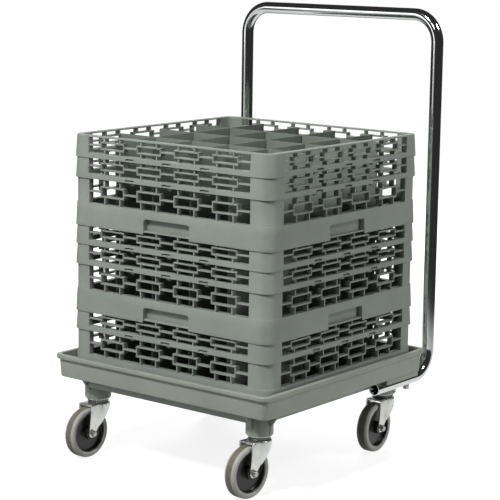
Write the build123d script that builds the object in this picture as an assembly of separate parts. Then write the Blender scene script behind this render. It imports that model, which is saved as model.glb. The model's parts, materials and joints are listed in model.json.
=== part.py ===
"""Rolling dolly with a push handle and a stack of three open dish racks.

Everything is in millimetres in one frame: +Z up, the floor at z = 0, the origin under the
middle of the whole object's box.  -Y is the front, +X the right side, +Y the handle.
"""
from build123d import *
import math
import os

os.makedirs("parts", exist_ok=True)

# Wheels and forks
WHEEL_R = 50.8
TYRE_HALF_W = 14.5
TYRE_SHOULDER = 3.6
TYRE_RING = 10.8
WHEEL_SIDES = 20
HUB_SIDES = 12
BORE_SIDES = 12
SHAFT_SIDES = 12
HUB_WEB_HALF = 5.0
HUB_BOSS_R = 12.0
HUB_HALF_LENGTH = 15.2
RUNNING_GAP = 0.05
SPACER_R = 7.0
BOLT_R = 5.0
TRAIL = 34.0
FORK_INSIDE = 15.5
FORK_SHEET = 2.6
FORK_NOSE_R = 24.0
FORK_TAIL = 36.0
FORK_TOP_Z = 109.5
FORK_LEG_END_R = 10.5
FORK_NOSE_DROP = 12.0
NOSE_STEPS = 5
LEG_END_STEPS = 3
AXLE_HEAD_T = 5.0
AXLE_HEAD_R = 8.0
AXLE_NUT_T = 6.5
KINGPIN_R = 6.0
KINGPIN_HEAD_R = 9.0
KINGPIN_HEAD_T = 2.4
RACE_R = 21.5
RACE_SIDES = 12
RACE_TOP_GAP = 0.3
TOP_RACE_R = 24.0
TOP_RACE_T = 3.0
CASTER_XY = 209.0
SWIVEL_DEG = {"front_left": -92.0, "front_right": -95.0, "back_right": -86.6, "back_left": -93.0}
CASTER_SIGN = {"front_left": (-1, -1), "front_right": (1, -1), "back_right": (1, 1), "back_left": (-1, 1)}

# Steps in a rounded corner of the deck and the racks
CORNER_STEPS = 2

# Deck tray
DECK_FLOOR_TOP = 166.8
DECK_FLOOR_T = 3.5
DECK_HALF_LOW = 265.3
DECK_HALF_HIGH = 267.6
DECK_WALL_T = 4.0
DECK_CORNER_R = 12.0
DECK_FOOT_EDGE = 3.0
LIP_HALF = 273.0
LIP_TOP = 210.5
LIP_H = 9.5
LIP_ROUND = 2.8
LIP_CORNER_R = 17.0
DROP_START_Y = 138.0
DROP_LOW_Z = 154.0
RIB_HALF_X = 234.0
RIB_HALF_Y = 243.0
RIB_LOW_Z = 145.5
RIB_T = 3.0
CROSS_RIB_LOW_Z = 151.0
CROSS_RIB_AT = 78.0
BOSS_R = 26.8
BOSS_LOW_Z = 118.4
BOSS_SIDES = 12
GUSSET_REACH = 50.0
GUSSET_LOW_Z = 126.0
GUSSET_T = 3.0

# Push handle
TUBE_R = 12.5
TUBE_WALL = 1.5
TUBE_SIDES = 12
TUBE_BORE_SIDES = 8
BEND_STEPS = 4
HANDLE_HALF_X = 247.0
HANDLE_Y = 316.7
HANDLE_TOP_Z = 895.2
LEG_Z = 147.0
LEG_END_Y = 119.0
LOW_BEND_R = 53.0
TOP_BEND_R = 56.0
CLAMP_BOLT_Y = 238.0
CLAMP_BOLT_R = 3.0
CLAMP_HOLE_R = 3.2
CLAMP_HEAD_R = 6.8
CLAMP_HEAD_T = 8.0
SADDLE_HALF_X = 10.5
SADDLE_HALF_Y = 15.0
SADDLE_LOW_Z = 153.5

# Dish racks
RACK_SHIFT_Y = 7.9
RACK_HALF = 250.8
RACK_TOP_HALF = 248.5
RACK_LATTICE_HALF = 248.0
RACK_CORNER_R = 24.0
RACK_WALL_T = 6.0
NEST_GAP = 0.3
EXTENDER_H = 44.4
EXTENDER_NEST = 3.1
EXTENDER_BAND_H = 10.0
BASE_H = 99.1
BASE_LEDGE = 52.6
RACK_NEST = 6.5
RIM_H = 3.0
WINDOW_HALF = 203.5
BRICK_AT = (-142.35, -47.45, 47.45, 142.35)
BRICK_HALF = 29.75
UPRIGHT_AT = 20.0
RIB_W = 2.0
EXTENDER_RIBS = (12.0, 18.8, 25.5)
BASE_RIBS = (17.9, 28.4, 37.2)
HAND_HALF_W = 58.0
HAND_DROP = 16.5
HAND_DEPTH = 18.0
HAND_SHEET = 2.4
SHEET_T = 2.2
SHEET_REACH = 238.0
SHEET_DROP = 9.0
SHEET_ACROSS = (-142.35, -47.45, 47.45, 142.35)
SHEET_ALONG = (-119.2, 0.0, 119.2)
FLOOR_TOP = 86.6
FLOOR_T = 4.0
FLOOR_BAR_W = 6.0
SHEET_CHAMFER_IN = 220.0
SHEET_CHAMFER_UP = 35.0

# Positions worked out from the sizes above
AXLE_Z = WHEEL_R
DECK_FLOOR_LOW = DECK_FLOOR_TOP - DECK_FLOOR_T
HANDLE_BACK = HANDLE_Y + TUBE_R
WHEEL_FRONT = max(
    CASTER_XY - TRAIL * math.sin(math.radians(SWIVEL_DEG[k]))
    + WHEEL_R * abs(math.sin(math.radians(SWIVEL_DEG[k])))
    for k in ("front_left", "front_right")
)
DECK_Y = -(HANDLE_BACK - WHEEL_FRONT) / 2
RACK_Y = DECK_Y + RACK_SHIFT_Y
# Lattice drawn on each rack's base and extenders, from the bottom up
RACK_PLAN = {
    "rack_lower": ("bars", "bars"),
    "rack_middle": ("bars", "bars", "bars"),
    "rack_upper": ("bars", "bars", "bricks"),
}


def rounded_square(half_x, half_y, radius, steps=CORNER_STEPS):
    """Closed outline of a rectangle whose corners are short straight steps on an arc."""
    points = []
    for quarter, (sx, sy) in enumerate(((1, 1), (-1, 1), (-1, -1), (1, -1))):
        cx = sx * (half_x - radius)
        cy = sy * (half_y - radius)
        for step in range(steps + 1):
            turn = math.radians(90 * (quarter + step / steps))
            points.append((cx + radius * math.cos(turn), cy + radius * math.sin(turn)))
    return points


def flat(points, z):
    """Face with the given outline at height z."""
    return make_face(Polyline([(x, y, z) for x, y in points], close=True))


def skin(rings):
    """Solid with flat faces through a row of closed rings with equally many points."""
    faces = [Face(Wire.make_polygon(rings[0], close=True)), Face(Wire.make_polygon(rings[-1], close=True))]
    count = len(rings[0])
    for near, far in zip(rings, rings[1:]):
        for k in range(count):
            after = (k + 1) % count
            faces.append(Face(Wire.make_polygon([near[k], near[after], far[after], far[k]], close=True)))
    return Solid(Shell(faces))


def wheel_ring(radius, sides, z):
    """Points of a regular polygon at height z."""
    turns = [2 * math.pi * k / sides for k in range(sides)]
    return [Vector(radius * math.cos(turn), radius * math.sin(turn), z) for turn in turns]


def block(x0, x1, y0, y1, z0, z1):
    """Box between two corners."""
    centre = Location(((x0 + x1) / 2, (y0 + y1) / 2, (z0 + z1) / 2))
    return centre * Box(x1 - x0, y1 - y0, z1 - z0)


def prism(radius, sides, z0, z1):
    """Upright many-sided bar about the Z axis."""
    return extrude(Plane.XY.offset(z0) * RegularPolygon(radius, sides), z1 - z0)


def square_ring(half, radius, z):
    """Points of a rounded square at height z."""
    return [Vector(x, y, z) for x, y in rounded_square(half, half, radius)]


def tub(half_low, half_high, radius, z0, z1):
    """Rounded square block whose half width changes evenly with height."""
    return skin([square_ring(half_low, radius, z0), square_ring(half_high, radius, z1)])


def bore(shaft_r, z0, z1):
    """Many-sided hole whose flats clear a shaft by the running gap."""
    return prism((shaft_r + RUNNING_GAP) / math.cos(math.pi / BORE_SIDES), BORE_SIDES, z0, z1)


def save(shape, node):
    """Write one node and name it."""
    shape.label = node
    export_step(shape, "parts/" + node + ".step")


def caster_centre(corner):
    """Swivel axis of a corner's caster."""
    sx, sy = CASTER_SIGN[corner]
    return sx * CASTER_XY, DECK_Y + sy * CASTER_XY


def placed(shape, corner):
    """Turn a caster piece made about the origin, trailing along +X, to its corner."""
    x, y = caster_centre(corner)
    return Location((x, y, 0), (0, 0, SWIVEL_DEG[corner])) * shape


def across(shape):
    """Lay a piece made about the Z axis across the fork, on the axle."""
    return Location((TRAIL, 0, AXLE_Z), (90, 0, 0)) * shape


# Casters
def tyre():
    """Tyre with a chamfered shoulder each side."""
    edge = WHEEL_R - TYRE_SHOULDER
    flank = TYRE_HALF_W - TYRE_SHOULDER
    profile = ((edge, -TYRE_HALF_W), (WHEEL_R, -flank), (WHEEL_R, flank), (edge, TYRE_HALF_W))
    body = skin([wheel_ring(radius, WHEEL_SIDES, z) for radius, z in profile])
    return across(body - prism(WHEEL_R - TYRE_RING, WHEEL_SIDES, -TYRE_HALF_W, TYRE_HALF_W))


def hub():
    """Wheel centre: web set back inside the tyre and a long bored boss."""
    body = prism(WHEEL_R - TYRE_RING, WHEEL_SIDES, -HUB_WEB_HALF, HUB_WEB_HALF)
    body += prism(HUB_BOSS_R, HUB_SIDES, -HUB_HALF_LENGTH, HUB_HALF_LENGTH)
    return across(body - bore(SPACER_R, -HUB_HALF_LENGTH, HUB_HALF_LENGTH))


def spacer():
    """Sleeve between the fork legs, on which the hub turns."""
    body = prism(SPACER_R, SHAFT_SIDES, -FORK_INSIDE, FORK_INSIDE)
    return across(body - prism(BOLT_R, SHAFT_SIDES, -FORK_INSIDE, FORK_INSIDE))


def axle_bolt():
    """Hexagon head bolt through the fork and the sleeve."""
    outside = FORK_INSIDE + FORK_SHEET
    shank = prism(BOLT_R, SHAFT_SIDES, -outside - AXLE_NUT_T - 1.5, outside)
    return across(shank + prism(AXLE_HEAD_R, 6, outside, outside + AXLE_HEAD_T))


def axle_nut():
    """Hexagon nut on the far side of the fork."""
    outside = FORK_INSIDE + FORK_SHEET
    body = prism(AXLE_HEAD_R, 6, -outside - AXLE_NUT_T, -outside)
    return across(body - prism(BOLT_R, SHAFT_SIDES, -outside - AXLE_NUT_T, -outside))


def fork_plan(radius, half_w):
    """Round-nosed outline of the fork's top, seen from above."""
    start = math.degrees(math.asin(half_w / radius))
    points = [(FORK_TAIL, half_w)]
    for step in range(NOSE_STEPS + 1):
        turn = math.radians(start + (360 - 2 * start) * step / NOSE_STEPS)
        points.append((radius * math.cos(turn), radius * math.sin(turn)))
    points.append((FORK_TAIL, -half_w))
    return points


def fork():
    """Pressed fork: round-nosed top with a short skirt, and two leaning legs."""
    outside = FORK_INSIDE + FORK_SHEET
    low = FORK_TOP_Z - FORK_NOSE_DROP
    body = extrude(flat(fork_plan(FORK_NOSE_R, outside), low), FORK_NOSE_DROP)
    room = extrude(flat(fork_plan(FORK_NOSE_R - FORK_SHEET, FORK_INSIDE), low), FORK_NOSE_DROP - FORK_SHEET)
    body -= room
    body -= block(FORK_TAIL - FORK_SHEET, FORK_TAIL, -FORK_INSIDE, FORK_INSIDE, low, FORK_TOP_Z - FORK_SHEET)
    rear = TRAIL + FORK_LEG_END_R
    front = TRAIL - FORK_LEG_END_R
    side = [(FORK_TAIL, low + 2), (rear, AXLE_Z + 4)]
    for step in range(LEG_END_STEPS + 1):
        turn = math.radians(-180 * step / LEG_END_STEPS)
        side.append((TRAIL + FORK_LEG_END_R * math.cos(turn), AXLE_Z + FORK_LEG_END_R * math.sin(turn)))
    side += [(front - 5, AXLE_Z + 7), (5, 68), (-4, 80), (-13.5, low + 2)]
    outline = make_face(Polyline([(x, outside, z) for x, z in side], close=True))
    leg = extrude(outline, FORK_SHEET, dir=(0, -1, 0))
    body += leg
    body += mirror(leg, about=Plane.XZ)
    body -= across(prism(BOLT_R, SHAFT_SIDES, -2 * outside, 2 * outside))
    return body - bore(KINGPIN_R, FORK_TOP_Z - FORK_SHEET, FORK_TOP_Z)


def ball_race():
    """Ball race between the deck's fixed race and the fork."""
    top = BOSS_LOW_Z - TOP_RACE_T - RACE_TOP_GAP
    body = prism(RACE_R, RACE_SIDES, FORK_TOP_Z, top)
    return body - bore(KINGPIN_R, FORK_TOP_Z, top)


def top_race():
    """Fixed race pressed against the deck's boss."""
    body = prism(TOP_RACE_R, RACE_SIDES, BOSS_LOW_Z - TOP_RACE_T, BOSS_LOW_Z)
    return body - prism(KINGPIN_R, SHAFT_SIDES, 0, DECK_FLOOR_TOP)


def kingpin():
    """Pin that hangs the fork from the deck, with a flat head under the fork."""
    shank_low = FORK_TOP_Z - FORK_SHEET - RACE_TOP_GAP
    body = prism(KINGPIN_R, SHAFT_SIDES, shank_low, DECK_FLOOR_LOW - 6)
    return body + prism(KINGPIN_HEAD_R, SHAFT_SIDES, shank_low - KINGPIN_HEAD_T, shank_low)


# Deck and handle
def gusset(dx, dy):
    """Upright web from a boss out to the deck's edge."""
    reach = GUSSET_REACH
    inner = BOSS_R - 3
    profile = [(inner, GUSSET_LOW_Z), (reach, DECK_FLOOR_LOW), (inner, DECK_FLOOR_LOW)]
    half = GUSSET_T / 2
    if dx:
        face = make_face(Polyline([(dx * r, -half, z) for r, z in profile], close=True))
        return extrude(face, GUSSET_T, dir=(0, 1, 0))
    face = make_face(Polyline([(-half, dy * r, z) for r, z in profile], close=True))
    return extrude(face, GUSSET_T, dir=(1, 0, 0))


def deck_tray():
    """Shallow tray with a rolled lip, ribs and the four caster bosses below it."""
    foot = tub(DECK_HALF_LOW - DECK_FOOT_EDGE, DECK_HALF_LOW, DECK_CORNER_R, DECK_FLOOR_LOW,
               DECK_FLOOR_LOW + DECK_FOOT_EDGE)
    walls = tub(DECK_HALF_LOW, DECK_HALF_HIGH, DECK_CORNER_R, DECK_FLOOR_LOW + DECK_FOOT_EDGE, LIP_TOP)
    edge = LIP_HALF - LIP_ROUND
    low = LIP_TOP - LIP_H
    profile = ((edge, low), (LIP_HALF, low + LIP_ROUND), (LIP_HALF, LIP_TOP - LIP_ROUND), (edge, LIP_TOP))
    body = foot + walls + skin([square_ring(half, LIP_CORNER_R, z) for half, z in profile])
    body -= tub(DECK_HALF_LOW - DECK_WALL_T, DECK_HALF_HIGH - DECK_WALL_T, DECK_CORNER_R - DECK_WALL_T,
                DECK_FLOOR_TOP, LIP_TOP)
    for sx in (-1, 1):
        outer = sx * DECK_HALF_LOW
        inner = sx * (DECK_HALF_LOW - DECK_WALL_T)
        skirt = block(min(outer, inner), max(outer, inner), DROP_START_Y, DECK_HALF_LOW, DROP_LOW_Z,
                      DECK_FLOOR_TOP)
        body += skirt & tub(DECK_HALF_LOW, DECK_HALF_LOW, DECK_CORNER_R, DROP_LOW_Z, DECK_FLOOR_TOP)
    ring = block(-RIB_HALF_X, RIB_HALF_X, -RIB_HALF_Y, RIB_HALF_Y, RIB_LOW_Z, DECK_FLOOR_LOW)
    ring -= block(-RIB_HALF_X + RIB_T, RIB_HALF_X - RIB_T, -RIB_HALF_Y + RIB_T, RIB_HALF_Y - RIB_T,
                  RIB_LOW_Z, DECK_FLOOR_LOW)
    body += ring
    for at in (-CROSS_RIB_AT, CROSS_RIB_AT):
        body += block(at - RIB_T / 2, at + RIB_T / 2, -RIB_HALF_Y + RIB_T, RIB_HALF_Y - RIB_T,
                      CROSS_RIB_LOW_Z, DECK_FLOOR_LOW)
    for sx, sy in CASTER_SIGN.values():
        boss = prism(BOSS_R, BOSS_SIDES, BOSS_LOW_Z, DECK_FLOOR_LOW) + gusset(sx, 0) + gusset(0, sy)
        body += Location((sx * CASTER_XY, sy * CASTER_XY, 0)) * boss
        body -= Location((sx * CASTER_XY, sy * CASTER_XY, 0)) * prism(KINGPIN_R, SHAFT_SIDES, BOSS_LOW_Z,
                                                                      DECK_FLOOR_LOW - 6)
    for sx in (-1, 1):
        x = sx * HANDLE_HALF_X
        body += block(x - SADDLE_HALF_X, x + SADDLE_HALF_X, CLAMP_BOLT_Y - SADDLE_HALF_Y,
                      CLAMP_BOLT_Y + SADDLE_HALF_Y, SADDLE_LOW_Z, DECK_FLOOR_LOW)
        body -= Location((x, 0, LEG_Z), (90, 0, 0)) * prism(TUBE_R, TUBE_SIDES, -LIP_HALF, LIP_HALF)
        body -= Location((x, CLAMP_BOLT_Y, 0)) * prism(CLAMP_BOLT_R, SHAFT_SIDES, LEG_Z, DECK_FLOOR_LOW)
    return Location((0, DECK_Y, 0)) * body


def handle_stations():
    """Points and directions along the bent tube's centre line, from one open end to the other."""
    corners = [
        Vector(-HANDLE_HALF_X, LEG_END_Y, LEG_Z),
        Vector(-HANDLE_HALF_X, HANDLE_Y, LEG_Z),
        Vector(-HANDLE_HALF_X, HANDLE_Y, HANDLE_TOP_Z),
        Vector(HANDLE_HALF_X, HANDLE_Y, HANDLE_TOP_Z),
        Vector(HANDLE_HALF_X, HANDLE_Y, LEG_Z),
        Vector(HANDLE_HALF_X, LEG_END_Y, LEG_Z),
    ]
    radii = [LOW_BEND_R, TOP_BEND_R, TOP_BEND_R, LOW_BEND_R]
    stations = [(corners[0], (corners[1] - corners[0]).normalized())]
    for k, radius in enumerate(radii, start=1):
        before = (corners[k] - corners[k - 1]).normalized()
        after = (corners[k + 1] - corners[k]).normalized()
        centre = corners[k] + (after - before) * radius
        for step in range(BEND_STEPS + 1):
            turn = math.radians(90 * step / BEND_STEPS)
            point = centre - after * radius * math.cos(turn) + before * radius * math.sin(turn)
            stations.append((point, before * math.cos(turn) + after * math.sin(turn)))
    stations.append((corners[5], (corners[5] - corners[4]).normalized()))
    return stations


def tube(radius, sides):
    """Solid bar of the given radius along the handle's centre line."""
    rings = []
    side = Vector(1, 0, 0)
    heading = None
    for point, along in handle_stations():
        if heading is not None:
            hinge = heading.cross(along)
            if hinge.length > 1e-6:
                side = side.rotate(Axis((0, 0, 0), hinge), heading.get_angle(along))
        heading = along
        other = along.cross(side)
        ring = []
        for k in range(sides):
            turn = 2 * math.pi * k / sides
            ring.append(point + side * radius * math.cos(turn) + other * radius * math.sin(turn))
        rings.append(ring)
    return skin(rings)


def push_handle():
    """Bent tube with open ends under the deck."""
    body = tube(TUBE_R, TUBE_SIDES) - tube(TUBE_R - TUBE_WALL, TUBE_BORE_SIDES)
    for sx in (-1, 1):
        hole = prism(CLAMP_HOLE_R, SHAFT_SIDES, LEG_Z - 2 * TUBE_R, LEG_Z + 2 * TUBE_R)
        body -= Location((sx * HANDLE_HALF_X, CLAMP_BOLT_Y, 0)) * hole
    return Location((0, DECK_Y, 0)) * body


def clamp_bolt():
    """Bolt that holds a handle leg up against its saddle."""
    under = LEG_Z - TUBE_R
    body = prism(CLAMP_BOLT_R, SHAFT_SIDES, under, DECK_FLOOR_LOW)
    return body + prism(CLAMP_HEAD_R, 6, under - CLAMP_HEAD_T, under)


# Dish racks
def lattice_cells(window_top, ribs, window_low, lattice):
    """Outlines (across, height) of the openings in one rack wall, heights below its rim."""
    high, middle, low = ribs
    half = RIB_W / 2
    cells = []
    if lattice != "bricks":
        edges = [-WINDOW_HALF - half] + list(BRICK_AT) + [WINDOW_HALF + half]
        for left, right in zip(edges, edges[1:]):
            cells.append([(left + half, window_top), (right - half, window_top),
                          (right - half, window_low), (left + half, window_low)])
        return cells
    for centre in BRICK_AT:
        near = UPRIGHT_AT - half
        wide = BRICK_HALF - half
        for reach, top, bottom in (
            (near, window_top, high - half),
            (wide, high + half, low - half),
            (near, low + half, window_low),
        ):
            cells.append([(centre - reach, top), (centre + reach, top), (centre + reach, bottom),
                          (centre - reach, bottom)])
    beyond = UPRIGHT_AT + half
    clear = BRICK_HALF + half
    lefts = [None] + list(BRICK_AT)
    rights = list(BRICK_AT) + [None]
    for left, right in zip(lefts, rights):
        wide_l = -WINDOW_HALF if left is None else left + beyond
        slim_l = -WINDOW_HALF if left is None else left + clear
        wide_r = WINDOW_HALF if right is None else right - beyond
        slim_r = WINDOW_HALF if right is None else right - clear
        for edge, step, link in ((window_top, high - half, middle - half), (window_low, low + half, middle + half)):
            outline = [(wide_l, edge), (wide_r, edge), (wide_r, step), (slim_r, step), (slim_r, link),
                       (slim_l, link), (slim_l, step), (wide_l, step)]
            tidy = []
            for point in outline:
                if point not in tidy:
                    tidy.append(point)
            corners = []
            for k, point in enumerate(tidy):
                before = tidy[k - 1]
                after = tidy[(k + 1) % len(tidy)]
                if not (before[0] == point[0] == after[0] or before[1] == point[1] == after[1]):
                    corners.append(point)
            cells.append(corners)
    return cells


def pierce(body, cells, rim_z):
    """Cut the openings through all four walls."""
    far = RACK_HALF + 5
    tools = []
    for cell in cells:
        across_x = make_face(Polyline([(a, far, rim_z - h) for a, h in cell], close=True))
        tools.append(extrude(across_x, 2 * far, dir=(0, -1, 0)))
        across_y = make_face(Polyline([(far, a, rim_z - h) for a, h in cell], close=True))
        tools.append(extrude(across_y, 2 * far, dir=(-1, 0, 0)))
    return body.cut(*tools)


def four_walls(ring, low, high):
    """Part a ring at its corners' diagonals, so that each wall is a nearly flat solid."""
    far = RACK_HALF + 5
    walls = []
    for quarter in range(4):
        turn = Location((0, RACK_Y, 0), (0, 0, 90 * quarter))
        wedge = extrude(flat([(0, 0), (far, -far), (far, far)], low), high - low)
        walls += (Location((0, RACK_Y, 0)) * ring & turn * wedge).solids()
    return Compound(children=walls)


def nest_half(depth):
    """Half width inside a foot that fits over the rim of the tier below it."""
    return RACK_TOP_HALF + (RACK_HALF - RACK_TOP_HALF) * depth / EXTENDER_H + NEST_GAP


def extender(rim_z, lattice):
    """Open square frame that raises a rack by one tier; its foot fits over the rim below."""
    low = rim_z - EXTENDER_H
    body = tub(RACK_HALF, RACK_TOP_HALF, RACK_CORNER_R, low, rim_z)
    inner = RACK_TOP_HALF - RACK_WALL_T
    body -= tub(inner, inner, RACK_CORNER_R - RACK_WALL_T, low, rim_z)
    over = nest_half(EXTENDER_NEST)
    body -= tub(over, over, RACK_CORNER_R, low, low + EXTENDER_NEST)
    cells = lattice_cells(RIM_H, EXTENDER_RIBS, EXTENDER_H - EXTENDER_BAND_H, lattice)
    return four_walls(pierce(body, cells, rim_z), low, rim_z)


def hand_hold(rim_z):
    """Pocket walls behind one hand hold on the front, and the hollow they leave."""
    low = rim_z - BASE_H
    top = rim_z - BASE_LEDGE - HAND_DROP
    face = RACK_HALF + 1
    back = RACK_HALF - HAND_DEPTH
    shell = block(-HAND_HALF_W - HAND_SHEET, HAND_HALF_W + HAND_SHEET, -RACK_TOP_HALF, -back + HAND_SHEET,
                  low + RACK_NEST, top + HAND_SHEET)
    hollow = block(-HAND_HALF_W, HAND_HALF_W, -face, -back, low - 1, top)
    return shell, hollow


def rack_base(rim_z, lattice):
    """Base rack: lattice walls over a solid skirt with hand holds, and an open floor."""
    low = rim_z - BASE_H
    ledge = rim_z - BASE_LEDGE
    inner = RACK_LATTICE_HALF - RACK_WALL_T
    body = tub(RACK_LATTICE_HALF, RACK_LATTICE_HALF, RACK_CORNER_R, ledge, rim_z)
    body += tub(RACK_HALF, RACK_TOP_HALF + 0.6, RACK_CORNER_R, low, ledge)
    body -= tub(inner, inner, RACK_CORNER_R - RACK_WALL_T, low, rim_z)
    over = nest_half(RACK_NEST)
    body -= tub(over, over, RACK_CORNER_R, low, low + RACK_NEST)
    body = pierce(body, lattice_cells(RIM_H, BASE_RIBS, BASE_LEDGE, lattice), rim_z)
    for quarter in range(4):
        turn = Location((0, 0, 0), (0, 0, 90 * quarter))
        shell, hollow = hand_hold(rim_z)
        body += turn * shell
        body -= turn * hollow
    return four_walls(body, low, rim_z)


def rack_floor(rim_z):
    """Open floor of a base rack: bars from front to back on a thin frame."""
    inner = RACK_LATTICE_HALF - RACK_WALL_T
    top = rim_z - FLOOR_TOP
    half = RACK_HALF - HAND_DEPTH - HAND_SHEET
    body = block(-inner, inner, -inner, inner, top - FLOOR_T, top)
    corner = RACK_CORNER_R - RACK_WALL_T
    body &= tub(inner, inner, corner, top - FLOOR_T, top)
    lefts = [-half] + [x + FLOOR_BAR_W / 2 for x in SHEET_ACROSS]
    rights = [x - FLOOR_BAR_W / 2 for x in SHEET_ACROSS] + [half]
    for left, right in zip(lefts, rights):
        body -= block(left, right, -half + FLOOR_BAR_W, half - FLOOR_BAR_W, top - FLOOR_T, top)
    for quarter in range(4):
        shell, hollow = hand_hold(rim_z)
        body -= Location((0, 0, 0), (0, 0, 90 * quarter)) * (shell + hollow)
    return Location((0, RACK_Y, 0)) * body


def sheet(outline, at, along_x):
    """Upright divider sheet with the given (along, height) outline, centred on a plane."""
    half = SHEET_T / 2
    if along_x:
        face = make_face(Polyline([(a, RACK_Y + at - half, z) for a, z in outline], close=True))
        return extrude(face, SHEET_T, dir=(0, 1, 0))
    face = make_face(Polyline([(at - half, RACK_Y + a, z) for a, z in outline], close=True))
    return extrude(face, SHEET_T, dir=(1, 0, 0))


def sheet_outline(left, right, low_z, top, over_pocket):
    """Rectangle, with its outer lower corners sloped where a hand-hold pocket stands below."""
    slope_z = low_z + SHEET_CHAMFER_UP
    outline = [(left, top), (right, top)]
    if over_pocket and right >= SHEET_REACH:
        outline += [(right, slope_z), (SHEET_CHAMFER_IN, low_z)]
    else:
        outline.append((right, low_z))
    if over_pocket and left <= -SHEET_REACH:
        outline += [(-SHEET_CHAMFER_IN, low_z), (left, slope_z)]
    else:
        outline.append((left, low_z))
    return outline


def dividers(rim_z, low_z):
    """Upright sheets that part the rack into compartments, meeting face to face."""
    top = rim_z - SHEET_DROP
    half = SHEET_T / 2
    sheets = []
    for x in SHEET_ACROSS:
        outline = sheet_outline(-SHEET_REACH, SHEET_REACH, low_z, top, abs(x) < HAND_HALF_W)
        sheets.append(sheet(outline, x, False))
    edges = [-SHEET_REACH - half] + list(SHEET_ACROSS) + [SHEET_REACH + half]
    for y in SHEET_ALONG:
        for left, right in zip(edges, edges[1:]):
            outline = sheet_outline(left + half, right - half, low_z, top, abs(y) < HAND_HALF_W)
            sheets.append(sheet(outline, y, True))
    return Compound(children=sheets)


def build_racks():
    """Stack the racks from the deck up and write their nodes."""
    foot = DECK_FLOOR_TOP
    for rack, lattices in RACK_PLAN.items():
        rim = foot + BASE_H
        save(rack_base(rim, lattices[0]), rack + "_base")
        sheet_low = rim - FLOOR_TOP
        save(rack_floor(rim), rack + "_floor")
        for tier, lattice in enumerate(lattices[1:], start=1):
            rim += EXTENDER_H - EXTENDER_NEST
            save(extender(rim, lattice), rack + "_extender_" + str(tier))
        save(dividers(rim, sheet_low), rack + "_dividers")
        foot = rim - RACK_NEST
    return rim


def build_casters():
    """Write the pieces of the four casters."""
    pieces = {"fork": fork(), "ball_race": ball_race(), "axle_bolt": axle_bolt(), "axle_nut": axle_nut(),
              "axle_sleeve": spacer(), "tyre": tyre(), "hub": hub()}
    fixed = {"caster_kingpins": kingpin(), "caster_top_races": top_race()}
    for corner in CASTER_SIGN:
        for name, piece in pieces.items():
            save(placed(piece, corner), name + "_" + corner)
    for name, piece in fixed.items():
        copies = []
        for corner in CASTER_SIGN:
            x, y = caster_centre(corner)
            copies.append(Location((x, y, 0)) * piece)
        save(Compound(children=copies), name)


def build_dolly():
    """Write the deck, its handle and the handle's bolts."""
    save(deck_tray(), "deck_tray")
    save(push_handle(), "push_handle")
    bolts = []
    for sx in (-1, 1):
        bolts.append(Location((sx * HANDLE_HALF_X, DECK_Y + CLAMP_BOLT_Y, 0)) * clamp_bolt())
    save(Compound(children=bolts), "handle_bolts")


build_dolly()
build_casters()
top_z = build_racks()
print("deck centre y", round(DECK_Y, 3), "rack centre y", round(RACK_Y, 3), "top rim z", round(top_z, 3))
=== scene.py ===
"""Looks for the dish rack dolly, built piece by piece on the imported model.

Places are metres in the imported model's own frame: +Z up, the floor at z = 0, -Y the front, +X the
right side and +Y the push handle. The sizes held by Rack, DeckTray, PushHandle and Caster are
millimetres.
"""

import json
import logging
import math
from dataclasses import dataclass, field
from enum import Enum
from typing import Callable, ClassVar, Iterable, Sequence

import bmesh
import bpy
from mathutils import Matrix, Vector


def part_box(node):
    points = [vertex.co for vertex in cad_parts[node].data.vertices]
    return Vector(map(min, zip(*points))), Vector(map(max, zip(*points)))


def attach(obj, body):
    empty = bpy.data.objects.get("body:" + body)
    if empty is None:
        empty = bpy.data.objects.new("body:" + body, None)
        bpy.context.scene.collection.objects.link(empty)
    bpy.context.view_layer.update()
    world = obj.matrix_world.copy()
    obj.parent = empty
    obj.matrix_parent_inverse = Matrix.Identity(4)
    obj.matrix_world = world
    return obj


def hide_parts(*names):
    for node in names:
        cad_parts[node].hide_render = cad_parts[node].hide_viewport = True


log = logging.getLogger("dish_rack_dolly")
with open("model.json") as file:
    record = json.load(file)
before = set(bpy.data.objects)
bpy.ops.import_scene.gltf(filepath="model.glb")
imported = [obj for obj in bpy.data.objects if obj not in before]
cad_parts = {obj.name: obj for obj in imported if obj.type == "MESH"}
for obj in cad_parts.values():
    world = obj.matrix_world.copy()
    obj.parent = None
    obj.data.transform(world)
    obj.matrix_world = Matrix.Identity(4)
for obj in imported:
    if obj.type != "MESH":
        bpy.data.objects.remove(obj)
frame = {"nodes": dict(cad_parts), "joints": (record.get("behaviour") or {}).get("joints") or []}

MM = 0.001
WHITE = (1.0, 1.0, 1.0, 1.0)
MERGE_WITHIN = 2e-6
LEAST_AREA = 1e-11
EDGE_STEPS = 2
SMOOTH_BELOW = 32.0
CORNERS = ("front_left", "front_right", "back_right", "back_left")
Point = tuple[float, float]
Triple = tuple[float, float, float]


class Facing(Enum):
    """Which way the deep side of a moulded bar points."""

    INTO_WALL = (0.0, 1.0, 0.0)
    UPRIGHT = (0.0, 0.0, 1.0)


class Lattice(Enum):
    """Heights of a tier's three level ribs, in millimetres below its rim."""

    BASE = (17.9, 28.4, 37.2)
    EXTENDER = (12.0, 18.8, 25.5)


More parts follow.
